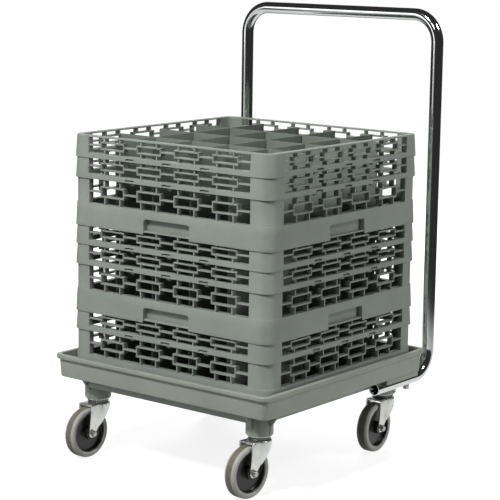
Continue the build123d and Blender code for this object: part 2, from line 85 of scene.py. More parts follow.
# Node trees
@dataclass
class Wiring:
    """Adds nodes to a tree and links them."""

    tree: bpy.types.NodeTree

    def add(self, kind: str, settings: dict | None = None, **sockets: object) -> bpy.types.Node:
        """Add one node.

        Args:
            kind: Blender's name for the node type.
            settings: Properties of the node itself.
            sockets: Input names, with _ for a blank, and a value or an output to link.

        Returns:
            The new node.
        """
        node = self.tree.nodes.new(kind)
        for key, value in (settings or {}).items():
            setattr(node, key, value)
        for key, value in sockets.items():
            self.feed(self.socket(node, key), value)
        return node

    def socket(self, node: bpy.types.Node, key: str) -> bpy.types.NodeSocket:
        """Find an input of a node.

        Args:
            node: The node.
            key: The input's name, or in_N for its place.

        Returns:
            The input.
        """
        if key.startswith("in_"):
            return node.inputs[int(key[3:])]
        return node.inputs[key.replace("_", " ")]

    def feed(self, socket: bpy.types.NodeSocket, value: object) -> None:
        """Link an output to an input, or set the input's value.

        Args:
            socket: The input.
            value: An output, a node whose first output is meant, or a plain value.
        """
        if isinstance(value, bpy.types.Node):
            value = value.outputs[0]
        if isinstance(value, bpy.types.NodeSocket):
            self.tree.links.new(value, socket)
        else:
            socket.default_value = value

    def remap(self, value: object, source: Point, target: Point = (0.0, 1.0)) -> bpy.types.Node:
        """Add a node that takes one range of a value to another."""
        return self.add("ShaderNodeMapRange", Value=value, From_Min=source[0], From_Max=source[1],
                        To_Min=target[0], To_Max=target[1])

    def maths(self, operation: str, first: object, second: object) -> bpy.types.Node:
        """Add a node that works with two numbers."""
        return self.add("ShaderNodeMath", {"operation": operation}, in_0=first, in_1=second)

    def vectors(self, operation: str, *given: object) -> bpy.types.Node:
        """Add a node that works with one or two vectors."""
        return self.add("ShaderNodeVectorMath", {"operation": operation},
                        **{f"in_{k}": value for k, value in enumerate(given)})


@dataclass(frozen=True)
class Finish:
    """A surface whose colour, roughness and relief vary a little over it.

    Attributes:
        name: Name of the material.
        slot: Material slot of the record that it stands for; not used.
        light: Colour of the lighter patches.
        dark: Colour of the darker patches.
        patch: Size of the patches, in metres.
        smooth: Roughness where it is smoothest.
        rough: Roughness where it is roughest.
        grain: Size of the fine relief, in metres.
        relief: Depth of the fine relief, in metres.
        metal: How metallic it is.
        sheen: Strength of its surface reflection.
        PATCH_SPREAD: Part of the patches' noise that goes from dark to light.
        GRAIN_SPREAD: Part of the grain's noise that goes from smooth to rough.
    """

    PATCH_SPREAD: ClassVar[Point] = (0.32, 0.68)
    GRAIN_SPREAD: ClassVar[Point] = (0.3, 0.7)

    name: str
    slot: str
    light: Triple
    dark: Triple
    patch: float = 0.09
    smooth: float = 0.42
    rough: float = 0.58
    grain: float = 0.0022
    relief: float = 0.00004
    metal: float = 0.0
    sheen: float = 0.5

    def material(self) -> bpy.types.Material:
        """Give the finish's material, which is made on its first use.

        Returns:
            The material.
        """
        found = bpy.data.materials.get(self.name)
        if found:
            return found
        made = bpy.data.materials.new(self.name)
        made.use_nodes = True
        made.diffuse_color = (*self.light, 1.0)
        made.node_tree.nodes.clear()
        w = Wiring(made.node_tree)
        where = w.add("ShaderNodeTexCoord").outputs["Object"]
        broad = w.add("ShaderNodeTexNoise", Vector=where, Scale=1 / self.patch, Detail=4.0,
                      Roughness=0.6)
        fine = w.add("ShaderNodeTexNoise", Vector=where, Scale=1 / self.grain, Detail=2.0,
                     Roughness=0.5)
        colour = w.add("ShaderNodeMix", {"data_type": "RGBA"},
                       in_0=w.remap(broad, self.PATCH_SPREAD), in_6=(*self.dark, 1.0),
                       in_7=(*self.light, 1.0)).outputs[2]
        gloss = w.remap(fine, self.GRAIN_SPREAD, (self.smooth, self.rough))
        bump = w.add("ShaderNodeBump", Height=fine, Strength=1.0, Distance=self.relief)
        shader = w.add("ShaderNodeBsdfPrincipled", Base_Color=colour, Roughness=gloss,
                       Metallic=self.metal, Specular_IOR_Level=self.sheen, Normal=bump)
        w.add("ShaderNodeOutputMaterial", Surface=shader)
        return made


RACK_PLASTIC = Finish("rack_grey_plastic", "rack_plastic", (0.318, 0.354, 0.313),
                      (0.275, 0.306, 0.27), smooth=0.4, rough=0.55)
# The rack's own plastic made darker: painted shade for the divider sheets and floor grid deep
# inside the rack.
SHADED_SHEET_PLASTIC = Finish("divider_painted_shade_plastic", "rack_plastic", (0.198, 0.226, 0.194),
                       (0.168, 0.193, 0.165), smooth=0.45, rough=0.6)
DECK_PLASTIC = Finish("deck_grey_plastic", "deck_plastic", (0.356, 0.388, 0.333),
                      (0.302, 0.33, 0.283), smooth=0.32, rough=0.5)
CHROME = Finish("handle_chrome", "handle_chrome", (0.70, 0.71, 0.70), (0.62, 0.635, 0.63),
                smooth=0.06, rough=0.14, metal=1.0, relief=0.000004, grain=0.004)
FORK_ZINC = Finish("fork_bright_zinc", "fork_zinc", (0.80, 0.815, 0.78), (0.64, 0.655, 0.62),
                   patch=0.02, smooth=0.22, rough=0.36, metal=1.0, relief=0.00001)
SMALL_ZINC = Finish("fastener_zinc", "zinc", (0.56, 0.57, 0.55), (0.42, 0.44, 0.42), patch=0.008,
                    smooth=0.22, rough=0.4, metal=1.0, relief=0.00001)
RACE_STEEL = Finish("race_dark_steel", "race_steel", (0.22, 0.22, 0.215), (0.13, 0.13, 0.125),
                    patch=0.01, smooth=0.3, rough=0.5, metal=0.8, relief=0.00002)
# The tyre rubber made darker and browner on the tread: partly dirt, partly painted shade where the
# tread faces away from the lamps.
TREAD_DIRT_AND_SHADE = Finish("tyre_tread_dirt_and_shade", "tyre", (0.23, 0.22, 0.17), (0.15, 0.144, 0.11), patch=0.02,
               smooth=0.6, rough=0.8, grain=0.0012, relief=0.00008, sheen=0.3)
TYRE_SIDE = Finish("tyre_side_rubber", "tyre", (0.53, 0.53, 0.50), (0.43, 0.43, 0.40), patch=0.02,
                   smooth=0.5, rough=0.7, grain=0.0012, relief=0.00005, sheen=0.35)
HUB_PLASTIC = Finish("hub_dark_plastic", "hub_plastic", (0.016, 0.017, 0.015),
                     (0.010, 0.011, 0.010), patch=0.02, smooth=0.22, rough=0.38)


# Objects and meshes
def add_object(name: str, data: bpy.types.ID) -> bpy.types.Object:
    """Put a mesh, lamp or camera into the scene.

    Args:
        name: Name of the object.
        data: What it shows.

    Returns:
        The object.
    """
    item = bpy.data.objects.new(name, data)
    bpy.context.scene.collection.objects.link(item)
    return item


def made_mesh(item: bpy.types.Object) -> bpy.types.Mesh:
    """Read what an object's modifiers make of it.

    Args:
        item: The object.

    Returns:
        A plain mesh.
    """
    bpy.context.view_layer.update()
    ready = item.evaluated_get(bpy.context.evaluated_depsgraph_get())
    return bpy.data.meshes.new_from_object(ready)


def bake(piece: bpy.types.Object) -> None:
    """Put what a piece's modifiers make into its mesh and take them off.

    Args:
        piece: The piece.
    """
    made = made_mesh(piece)
    piece.modifiers.clear()
    old = piece.data
    piece.data = made
    bpy.data.meshes.remove(old)


def as_mesh(bm: bmesh.types.BMesh, name: str, recalculate: bool = True) -> bpy.types.Mesh:
    """Merge a bmesh's doubles and write it to a mesh.

    Args:
        bm: The bmesh, which is freed.
        name: Name of the mesh.
        recalculate: Whether its faces are turned outwards first.

    Returns:
        The mesh.
    """
    bmesh.ops.remove_doubles(bm, verts=bm.verts, dist=MERGE_WITHIN)
    if recalculate:
        bmesh.ops.recalc_face_normals(bm, faces=bm.faces)
    mesh = bpy.data.meshes.new(name)
    bm.to_mesh(mesh)
    bm.free()
    return mesh


def finish_piece(name: str, shape: bpy.types.Mesh | bmesh.types.BMesh, body: str,
                 finishes: Sequence[Finish], nodes: Sequence[str] = (), edge: float = 0.0,
                 crease: float = SMOOTH_BELOW, recalculate: bool = True) -> bpy.types.Object:
    """Turn a shape into a finished piece that rides on a body.

    Args:
        name: Name of the piece.
        shape: Its mesh or bmesh, in place.
        body: CAD body that it moves with.
        finishes: Finishes of its faces, in the order of their material indices.
        nodes: CAD nodes that it stands for.
        edge: Width of the rounding along its sharp edges, in metres, or 0 for none.
        crease: Angle past which an edge stays sharp, in degrees.
        recalculate: Whether the faces of a bmesh are turned outwards first.

    Returns:
        The piece.
    """
    if isinstance(shape, bmesh.types.BMesh):
        shape = as_mesh(shape, name, recalculate)
    piece = add_object(name, shape)
    if edge:
        bevel = piece.modifiers.new("rounding", "BEVEL")
        bevel.width = edge
        bevel.segments = EDGE_STEPS
        bevel.limit_method = "ANGLE"
        bevel.angle_limit = math.radians(crease)
        bevel.use_clamp_overlap = True
        bake(piece)
    mesh = piece.data
    if mesh.materials:
        mesh.materials.clear()
    for finish in finishes:
        mesh.materials.append(finish.material())
    mesh.polygons.foreach_set("use_smooth", [True] * len(mesh.polygons))
    mesh.set_sharp_from_angle(angle=math.radians(crease))
    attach(piece, body)
    if nodes:
        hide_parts(*nodes)
    log.info("%s: %d faces on %s", name, len(mesh.polygons), body)
    return piece


def arc(first: float, last: float, steps: int) -> list[float]:
    """Evenly spaced angles between two given in degrees, both included, in radians."""
    return [math.radians(first + (last - first) * step / steps) for step in range(steps + 1)]


def loft(bm: bmesh.types.BMesh, rings: Sequence[Sequence[Vector]], caps: bool = True,
         closed: bool = False, index: Callable[[int], int] = lambda row: 0) -> None:
    """Skin a row of rings that have equally many points.

    Args:
        bm: Bmesh that gets the faces.
        rings: The rings, each counter-clockwise seen from the last one's side.
        caps: Whether the first and last rings are filled.
        closed: Whether the last ring joins the first.
        index: Material index of each row of faces.
    """
    made = [[bm.verts.new(p) for p in ring] for ring in rings]
    pairs = list(zip(made, made[1:]))
    if closed:
        pairs.append((made[-1], made[0]))
    count = len(made[0])
    for row, (near, far) in enumerate(pairs):
        for k in range(count):
            after = (k + 1) % count
            face = bm.faces.new((near[k], near[after], far[after], far[k]))
            face.material_index = index(row)
    if caps and not closed:
        bm.faces.new(list(reversed(made[0])))
        bm.faces.new(made[-1])


def stacked(rings: Sequence[Sequence[Vector]], name: str) -> bpy.types.Mesh:
    """Make a closed block through a row of outlines.

    Args:
        rings: The outlines, in millimetres.
        name: Name of the mesh.

    Returns:
        The block.
    """
    bm = bmesh.new()
    loft(bm, [[p * MM for p in ring] for ring in rings])
    return as_mesh(bm, name)


def trimmed(mesh: bpy.types.Mesh, tool: bpy.types.Mesh, keep: str) -> bpy.types.Mesh:
    """Cut one closed mesh with another.

    Args:
        mesh: The mesh to cut, which is used up.
        tool: The cutting mesh, which is used up.
        keep: "INTERSECT" keeps what lies in the tool, "DIFFERENCE" what lies outside it.

    Returns:
        What is left.
    """
    work, cutter = add_object("work", mesh), add_object("cutter", tool)
    cut = work.modifiers.new("cut", "BOOLEAN")
    cut.operation = keep
    cut.solver = "EXACT"
    cut.object = cutter
    bake(work)
    left = work.data
    for item in (work, cutter):
        bpy.data.objects.remove(item)
    bpy.data.meshes.remove(tool)
    return left


def add_block(bm: bmesh.types.BMesh, low: Sequence[float], high: Sequence[float]) -> None:
    """Add a box.

    Args:
        bm: Bmesh that gets the box.
        low: Its lowest corner, in metres.
        high: Its highest corner, in metres.
    """
    size = Vector(high) - Vector(low)
    middle = (Vector(high) + Vector(low)) / 2
    placed = Matrix.Translation(middle) @ Matrix.Diagonal((*size, 1.0))
    bmesh.ops.create_cube(bm, size=1.0, matrix=placed)


def add_slab(bm: bmesh.types.BMesh, outline: Sequence[Vector], thick: Vector) -> None:
    """Add a flat plate.

    Args:
        bm: Bmesh that gets the plate.
        outline: Corners of one of its faces.
        thick: The way from that face to the other.
    """
    near = [bm.verts.new(p) for p in outline]
    far = [bm.verts.new(p + thick) for p in outline]
    bm.faces.new(near)
    bm.faces.new(list(reversed(far)))
    for k in range(len(near)):
        after = (k + 1) % len(near)
        bm.faces.new((near[after], near[k], far[k], far[after]))


def turned(profile: Sequence[Point], steps: int, place: Matrix) -> list[list[Vector]]:
    """Find the rings of a turned piece.

    Args:
        profile: (radius, height) points along its outline, in millimetres.
        steps: Points in each ring.
        place: Where its axis, local Z, goes.

    Returns:
        One ring for each point of the profile.
    """
    turns = [2 * math.pi * k / steps for k in range(steps)]
    return [[place @ Vector((r * MM * math.cos(t), r * MM * math.sin(t), z * MM)) for t in turns]
            for r, z in profile]


def rounded_ring(half: float, radius: float, z: float, centre: Vector,
                 steps: int = 8) -> list[Vector]:
    """Find the points of a rounded square.

    Args:
        half: Its half width, in metres.
        radius: Radius of its corners, in metres.
        z: Its height, in metres.
        centre: Its middle seen from above.
        steps: Faces round a corner.

    Returns:
        The points, counter-clockwise from above.
    """
    points = []
    for quarter, (sx, sy) in enumerate(((1, 1), (-1, 1), (-1, -1), (1, -1))):
        for step in range(steps + 1):
            turn = math.radians(90 * (quarter + step / steps))
            points.append(Vector((centre.x + sx * (half - radius) + radius * math.cos(turn),
                                  centre.y + sy * (half - radius) + radius * math.sin(turn), z)))
    return points


# Moulded bars, made by Geometry Nodes
@dataclass
class MouldedBars:
    """Bars along guide lines: a rounded section swept along each line, copied round a centre."""

    name: str
    finish: Finish
    facing: Facing
    width: float
    depth: float
    rounding: float
    copies: int = 1
    centre: Vector = field(default_factory=lambda: Vector((0, 0, 0)))
    lines: list[tuple[Vector, Vector]] = field(default_factory=list)

    def tree(self) -> bpy.types.NodeTree:
        """Give the node tree that sweeps the bars, which is made on its first use.

        Returns:
            The node tree.
        """
        found = bpy.data.node_groups.get("moulded_bars")
        if found:
            return found
        made = bpy.data.node_groups.new("moulded_bars", "GeometryNodeTree")
        for label, kind in (("Guides", "Geometry"), ("Bar Width", "Float"), ("Bar Depth", "Float"),
                            ("Edge Rounding", "Float"), ("Copies", "Int"), ("Centre", "Vector"),
                            ("Deep Side", "Vector"), ("Finish", "Material")):
            made.interface.new_socket(label, in_out="INPUT", socket_type="NodeSocket" + kind)
        made.interface.new_socket("Bars", in_out="OUTPUT", socket_type="NodeSocketGeometry")
        w = Wiring(made)
        given = w.add("NodeGroupInput").outputs
        path = w.add("GeometryNodeMeshToCurve", Mesh=given["Guides"])
        path = w.add("GeometryNodeSetCurveNormal", {"mode": "FREE"}, Curve=path,
                     Normal=given["Deep Side"])
        section = w.add("GeometryNodeCurvePrimitiveQuadrilateral", Width=given["Bar Depth"],
                        Height=given["Bar Width"])
        section = w.add("GeometryNodeFilletCurve", {"mode": "POLY"}, Curve=section,
                        Count=EDGE_STEPS, Radius=given["Edge Rounding"])
        swept = w.add("GeometryNodeCurveToMesh", Curve=path, Profile_Curve=section, Fill_Caps=True)
        back = w.add("ShaderNodeVectorMath", {"operation": "SCALE"}, in_0=given["Centre"],
                     Scale=-1.0)
        swept = w.add("GeometryNodeTransform", Geometry=swept, Translation=back)
        spots = w.add("GeometryNodeMeshLine", Count=given["Copies"],
                      Start_Location=given["Centre"], Offset=(0.0, 0.0, 0.0))
        step = w.maths("DIVIDE", 2 * math.pi, given["Copies"])
        turn = w.add("ShaderNodeCombineXYZ",
                     Z=w.maths("MULTIPLY", w.add("GeometryNodeInputIndex"), step))
        copied = w.add("GeometryNodeInstanceOnPoints", Points=spots, Instance=swept, Rotation=turn)
        real = w.add("GeometryNodeRealizeInstances", Geometry=copied)
        done = w.add("GeometryNodeSetMaterial", Geometry=real, Material=given["Finish"])
        w.add("NodeGroupOutput", in_0=done)
        return made

    def build(self, body: str, nodes: Sequence[str] = ()) -> bpy.types.Object:
        """Sweep the bars and make them one plain mesh.

        Args:
            body: CAD body that they move with.
            nodes: CAD nodes that they stand for.

        Returns:
            The piece.
        """
        bm = bmesh.new()
        for start, end in self.lines:
            bm.edges.new((bm.verts.new(start), bm.verts.new(end)))
        guide = bpy.data.meshes.new(self.name + "_guide")
        bm.to_mesh(guide)
        bm.free()
        holder = add_object(self.name + "_guide", guide)
        sweep = holder.modifiers.new("bars", "NODES")
        sweep.node_group = self.tree()
        values = {"Bar Width": self.width, "Bar Depth": self.depth, "Edge Rounding": self.rounding,
                  "Copies": self.copies, "Centre": tuple(self.centre),
                  "Deep Side": self.facing.value, "Finish": self.finish.material()}
        for item in sweep.node_group.interface.items_tree:
            if item.in_out == "INPUT" and item.name in values:
                sweep[item.identifier] = values[item.name]
        mesh = made_mesh(holder)
        bpy.data.objects.remove(holder)
        mesh.name = self.name
        return finish_piece(self.name, mesh, body, [self.finish], nodes)


# Racks
@dataclass
class Level:
    """One height of a rack wall: z, and half widths outside and inside, in metres."""

    z: float
    outer: float
    inner: float


@dataclass
class Opening:
    """A hole through all four walls, between two places across and two heights, in metres."""

    left: float
    right: float
    low: float
    high: float

    def holds(self, across: float, height: float) -> bool:
        """Tell whether a place is in the hole."""
        return self.left < across < self.right and self.low < height < self.high


@dataclass(frozen=True)
class Station:
    """A place along a wall: its side, and how far along the side or round the corner after it."""

    side: int
    on_corner: bool
    at: float


@dataclass
class WallRing:
    """A closed wall on a rounded square, with openings."""

    centre: Vector
    levels: list[Level]
    stops: list[float]
    openings: list[Opening]
    corner_r: float
    arc_steps: int = 8
    least_r: float = 0.002

    def place(self, half: float, radius: float, station: Station, z: float) -> Vector:
        """Find a station's point.

        Args:
            half: Half width of the square.
            radius: Radius of its corners.
            station: The station.
            z: Height.

        Returns:
            The point.
        """
        if station.on_corner:
            turn = math.radians(-90 + 90 * station.at)
            x = half - radius + radius * math.cos(turn)
            y = -half + radius + radius * math.sin(turn)
        else:
            x, y = station.at, -half
        for _ in range(station.side):
            x, y = -y, x
        return Vector((self.centre.x + x, self.centre.y + y, z))

    def add_to(self, bm: bmesh.types.BMesh) -> None:
        """Add the wall's faces.

        Args:
            bm: Bmesh that gets them.
        """
        stations = []
        for side in range(4):
            stations += [Station(side, False, at) for at in self.stops]
            stations += [Station(side, True, step / self.arc_steps)
                         for step in range(self.arc_steps + 1)]
        count = len(stations)
        outside, inside = [], []
        for level in self.levels:
            inner_r = max(self.corner_r - (level.outer - level.inner), self.least_r)
            for points, half, radius in ((outside, level.outer, self.corner_r),
                                         (inside, level.inner, inner_r)):
                points.append([bm.verts.new(self.place(half, radius, s, level.z))
                               for s in stations])

        def solid(k: int, row: int) -> bool:
            """Tell whether the wall is there.

            Args:
                k: Number of the station before the place.
                row: Number of the level below it.

            Returns:
                Whether no opening holds the place.
            """
            if not 0 <= row < len(self.levels) - 1:
                return False
            one, two = stations[k % count], stations[(k + 1) % count]
            if one.on_corner or two.on_corner:
                return True
            across = (one.at + two.at) / 2
            height = (self.levels[row].z + self.levels[row + 1].z) / 2
            return not any(hole.holds(across, height) for hole in self.openings)

        def quad(*corners: bmesh.types.BMVert) -> None:
            """Add a face unless it has no area.

            Args:
                corners: Its four corners in order.
            """
            a, b, c, d = (v.co for v in corners)
            if (b - a).cross(c - a).length + (c - a).cross(d - a).length > LEAST_AREA:
                bm.faces.new(corners)

        for row in range(len(self.levels) - 1):
            up = row + 1
            for k in range(count):
                if not solid(k, row):
                    continue
                n = (k + 1) % count
                quad(outside[row][k], outside[row][n], outside[up][n], outside[up][k])
                quad(inside[row][n], inside[row][k], inside[up][k], inside[up][n])
                if not solid(k - 1, row):
                    quad(outside[row][k], outside[up][k], inside[up][k], inside[row][k])
                if not solid(k + 1, row):
                    quad(outside[up][n], outside[row][n], inside[row][n], inside[up][n])
                if not solid(k, row - 1):
                    quad(outside[row][k], inside[row][k], inside[row][n], outside[row][n])
                if not solid(k, up):
                    quad(outside[up][n], inside[up][n], inside[up][k], outside[up][k])


@dataclass
class Rack:
    """One dish rack: a base with hand holds, extenders above it, lattice walls and dividers.

    Sizes are millimetres, as moulded. A section is a bar's width, depth and rounding.
    """

    body: str
    extenders: int
    # Walls, from the outer foot to the rim
    half: float = 250.8
    top_half: float = 248.5
    lattice_half: float = 248.0
    wall: float = 12.5
    corner_r: float = 24.0
    base_h: float = 99.1
    skirt_h: float = 46.5
    skirt_step: float = 0.6
    extender_h: float = 44.4
    nest: float = 3.1
    nest_gap: float = 0.3
    foot: float = 6.5
    foot_draft: float = 0.25
    band_h: float = 10.0
    rim_h: float = 3.0
    window_half: float = 203.5
    # Hand holds; hand_face is how far in their rounded corners start
    hand_half: float = 58.0
    hand_top: float = 30.0
    hand_draft: float = 1.1
    hand_depth: float = 12.0
    hand_sheet: float = 2.4
    hand_round: float = 6.0
    hand_face: float = 1.25
    hand_overlap: float = 0.3
    # Notches in an extender's foot
    notch_half: float = 11.0
    notch_low: float = 1.0
    notch_high: float = 6.0
    notch_at: tuple[float, ...] = (-95.0, 0.0, 95.0)
    # Brick pattern of the lattice; its ribs are set rib_back less deep than the wall
    brick_at: tuple[float, ...] = (-142.35, -47.45, 47.45, 142.35)
    brick_half: float = 29.75
    upright_at: float = 20.0
    rib: float = 3.0
    rib_back: float = 0.6
    rib_round: float = 0.5
    rib_over: float = 1.0
    # Divider sheets, sloped at their lower corners where they would meet a hand hold
    sheet_t: float = 2.2
    sheet_reach: float = 235.0
    sheet_drop: float = 9.0
    sheet_along: tuple[float, ...] = (-119.2, 0.0, 119.2)
    slope_in: float = 220.0
    slope_up: float = 35.0
    # Open floor
    floor_top: float = 12.5
    floor_half: float = 229.4
    floor_bays: int = 10
    floor_bar_below: float = 2.0
    floor_section: Triple = (3.0, 3.6, 0.5)
    # Clips, each a level tab on an upright stem
    clip_half: float = 5.0
    clip_below: float = 7.6
    clip_back: float = 9.0
    tab_section: Triple = (3.0, 4.0, 0.8)
    stem_section: Triple = (6.0, 2.0, 0.5)
    stem_back: float = 2.0
    stem_short: float = 1.0

    def __post_init__(self) -> None:
        """Find the rack's centre, foot and rims from its packed base."""
        low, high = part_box(self.body + "_base")
        self.centre = Vector(((low.x + high.x) / 2, (low.y + high.y) / 2, 0.0))
        self.low = low.z
        self.rims = [low.z + self.base_h * MM]
        for _ in range(self.extenders):
            self.rims.append(self.rims[-1] + (self.extender_h - self.nest) * MM)

    def nest_half(self, depth: float) -> float:
        """Half width inside a foot that fits over the rim below, in millimetres."""
        lean = (self.half - self.top_half) * depth / self.extender_h
        return self.top_half + lean + self.nest_gap

    def shell(self, name: str, node: str, levels: list[Level], stops: Iterable[float],
              openings: list[Opening], edge: float) -> None:
        """Build one tier's closed wall.

        Args:
            name: Name of the piece.
            node: CAD node that it stands for.
            levels: Its heights.
            stops: Places across a wall where an opening starts or ends, in millimetres.
            openings: Its openings.
            edge: Width of the rounding along its edges, in metres.
        """
        places = sorted({-self.window_half, self.window_half, *stops})
        ring = WallRing(self.centre, levels, [round(at * MM, 7) for at in places], openings,
                        self.corner_r * MM)
        bm = bmesh.new()
        ring.add_to(bm)
        finish_piece(name, bm, self.body, [RACK_PLASTIC], [node], edge=edge, recalculate=False)

    def opening(self, middle: float, half: float, low: float, high: float) -> Opening:
        """Make an opening from millimetres across and metres up."""
        return Opening((middle - half) * MM, (middle + half) * MM, low, high)

    def base(self) -> None:
        """Build the base rack's shell, with its hand holds."""
        low, rim = self.low, self.base_h - self.rim_h
        nest, inner = self.nest_half(self.foot), self.lattice_half - self.wall
        rows = ((0.0, self.half, nest), (self.foot, self.half - self.foot_draft, nest),
                (self.foot, self.half - self.foot_draft, inner),
                (self.hand_top, self.half - self.hand_draft, inner),
                (self.skirt_h, self.top_half + self.skirt_step, inner),
                (self.skirt_h, self.lattice_half, inner), (rim, self.lattice_half, inner),
                (self.base_h, self.lattice_half, inner))
        levels = [Level(low + z * MM, out * MM, into * MM) for z, out, into in rows]
        window = self.opening(0, self.window_half, low + self.skirt_h * MM, low + rim * MM)
        hand = self.opening(0, self.hand_half, low - self.foot * MM, low + self.hand_top * MM)
        self.shell(self.body + "_base_shell", self.body + "_base", levels,
                   (-self.hand_half, self.hand_half), [window, hand], edge=0.0006)
        self.hand_holds()

    def hand_holds(self) -> None:
        """Build the panels behind the four hand holds and the rounding in their upper corners."""
        bm = bmesh.new()
        half, sheet, over = self.hand_half * MM, self.hand_sheet * MM, self.hand_overlap * MM
        back = -(self.half - self.hand_depth) * MM
        low, top = self.low + self.foot * MM, self.low + self.hand_top * MM
        radius = self.hand_round * MM
        for side in range(4):
            before = len(bm.verts)
            add_block(bm, (-half - over, back, low), (half + over, back + sheet, top + over))
            for sx in (-1, 1):
                corner = Vector((sx * half, -(self.half - self.hand_face) * MM, top))
                fan = [corner]
                for turn in arc(0, 90, 6):
                    fan.append(corner - Vector((sx * radius * (1 - math.cos(turn)), 0,
                                                radius * (1 - math.sin(turn)))))
                add_slab(bm, fan, Vector((0, self.hand_depth * MM, 0)))
            bm.verts.ensure_lookup_table()
            turn = Matrix.Rotation(math.radians(90 * side), 3, "Z")
            bmesh.ops.rotate(bm, verts=bm.verts[before:], cent=(0, 0, 0), matrix=turn)
        bmesh.ops.translate(bm, verts=bm.verts, vec=self.centre)
        finish_piece(self.body + "_hand_holds", bm, self.body, [RACK_PLASTIC], edge=0.0005)

    def extender(self, tier: int) -> None:
        """Build one extender's shell.

        Args:
            tier: Its number, from 1 at the bottom.
        """
        low = self.rims[tier] - self.extender_h * MM
        slope = (self.half - self.top_half) / self.extender_h
        nest, inner = self.nest_half(self.nest), self.top_half - self.wall
        rim = self.extender_h - self.rim_h
        rows = ((0.0, nest), (self.notch_low, nest), (self.nest, nest), (self.nest, inner),
                (self.notch_high, inner), (self.band_h, inner), (rim, inner),
                (self.extender_h, inner))
        levels = [Level(low + z * MM, (self.half - slope * z) * MM, into * MM) for z, into in rows]
        holes = [self.opening(0, self.window_half, low + self.band_h * MM, low + rim * MM)]
        stops = []
        for at in self.notch_at:
            stops += [at - self.notch_half, at + self.notch_half]
            holes.append(self.opening(at, self.notch_half, low + self.notch_low * MM,
                                      low + self.notch_high * MM))
        node = f"{self.body}_extender_{tier}"
        self.shell(node + "_shell", node, levels, stops, holes, edge=0.0005)

    def ribs_of(self, rim: float, lattice: Lattice, window_top: float,
                window_low: float) -> list[tuple[Vector, Vector]]:
        """Find the guide lines of the brick pattern on the front wall of one tier.

        Args:
            rim: Height of the tier's rim, in metres.
            lattice: Heights of its level ribs.
            window_top: Top of its window below the rim, in millimetres.
            window_low: Bottom of its window below the rim, in millimetres.

        Returns:
            Start and end of each rib.
        """
        high, middle, low = lattice.value
        y = self.centre.y - (self.lattice_half - self.wall / 2) * MM
        over = self.rib_over

        def rib(across: float, below: float, to_across: float,
                to_below: float) -> tuple[Vector, Vector]:
            """Line between two places on the wall's middle plane."""
            return tuple(Vector((self.centre.x + x * MM, y, rim - down * MM))
                         for x, down in ((across, below), (to_across, to_below)))

        lines = []
        for at in self.brick_at:
            left, right = at - self.brick_half, at + self.brick_half
            lines += [rib(left - self.rib / 2, h, right + self.rib / 2, h) for h in (high, low)]
            lines += [rib(x, high, x, low) for x in (left, right)]
            for x in (at - self.upright_at, at + self.upright_at):
                lines += [rib(x, window_top - over, x, high), rib(x, low, x, window_low + over)]
        end = self.window_half + over + self.brick_half
        stops = (-end, *self.brick_at, end)
        lines += [rib(left + self.brick_half, middle, right - self.brick_half, middle)
                  for left, right in zip(stops, stops[1:])]
        return lines

    def bars(self, name: str, section: Triple, lines: list[tuple[Vector, Vector]]) -> None:
        """Build bars that repeat on the four walls.

        Args:
            name: Name of the piece after the body's.
            section: Their width, depth and rounding, in millimetres.
            lines: Guide lines on the front wall.
        """
        width, depth, rounding = (size * MM for size in section)
        MouldedBars(f"{self.body}_{name}", RACK_PLASTIC, Facing.INTO_WALL, width, depth, rounding,
                    4, self.centre, lines).build(self.body)

    def lattice(self) -> None:
        """Build the lattice ribs of all the rack's tiers."""
        lines = self.ribs_of(self.rims[0], Lattice.BASE, self.rim_h, self.base_h - self.skirt_h)
        for rim in self.rims[1:]:
            lines += self.ribs_of(rim, Lattice.EXTENDER, self.rim_h, self.extender_h - self.band_h)
        self.bars("lattice", (self.rib, self.wall - self.rib_back, self.rib_round), lines)

    def clips(self) -> None:
        """Build the small tabs that reach from each extender's notches under the rim below it."""
        tabs, stems = [], []
        y = self.centre.y - (self.lattice_half - self.clip_back) * MM
        reach, back = self.clip_half * MM, self.stem_back * MM
        for rim in self.rims[:-1]:
            z = rim - self.clip_below * MM
            for at in self.notch_at:
                x = self.centre.x + at * MM
                tabs.append((Vector((x - reach, y, z)), Vector((x + reach, y, z))))
                stems.append((Vector((x, y + back, z)),
                              Vector((x, y + back, rim - self.stem_short * MM))))
        self.bars("clip_tabs", self.tab_section, tabs)
        self.bars("clip_stems", self.stem_section, stems)

    def sheet_outline(self, low: float, top: float, over_pocket: bool) -> list[Point]:
        """Find the outline of a divider sheet as (along, height), in metres.

        Args:
            low: Height of its lower edge.
            top: Height of its upper edge.
            over_pocket: Whether its lower corners are sloped to clear the hand holds.

        Returns:
            The corners, counter-clockwise.
        """
        reach, inner, up = self.sheet_reach * MM, self.slope_in * MM, self.slope_up * MM
        if over_pocket:
            return [(-inner, low), (inner, low), (reach, low + up), (reach, top), (-reach, top),
                    (-reach, low + up)]
        return [(-reach, low), (reach, low), (reach, top), (-reach, top)]

    def dividers(self) -> None:
        """Build the divider sheets."""
        low, top = self.low + self.floor_top * MM, self.rims[-1] - self.sheet_drop * MM
        thick = self.sheet_t * MM
        bm = bmesh.new()
        for x in self.brick_at:
            outline = self.sheet_outline(low, top, abs(x) < self.hand_half)
            add_slab(bm, [Vector((x * MM - thick / 2, a, z)) for a, z in outline],
                     Vector((thick, 0, 0)))
        for y in self.sheet_along:
            outline = self.sheet_outline(low, top, abs(y) < self.hand_half)
            add_slab(bm, [Vector((a, y * MM + thick / 2, z)) for a, z in outline],
                     Vector((0, -thick, 0)))
        bmesh.ops.translate(bm, verts=bm.verts, vec=self.centre)
        finish_piece(self.body + "_divider_sheets", bm, self.body, [SHADED_SHEET_PLASTIC],
                     [self.body + "_dividers"], edge=0.0004)

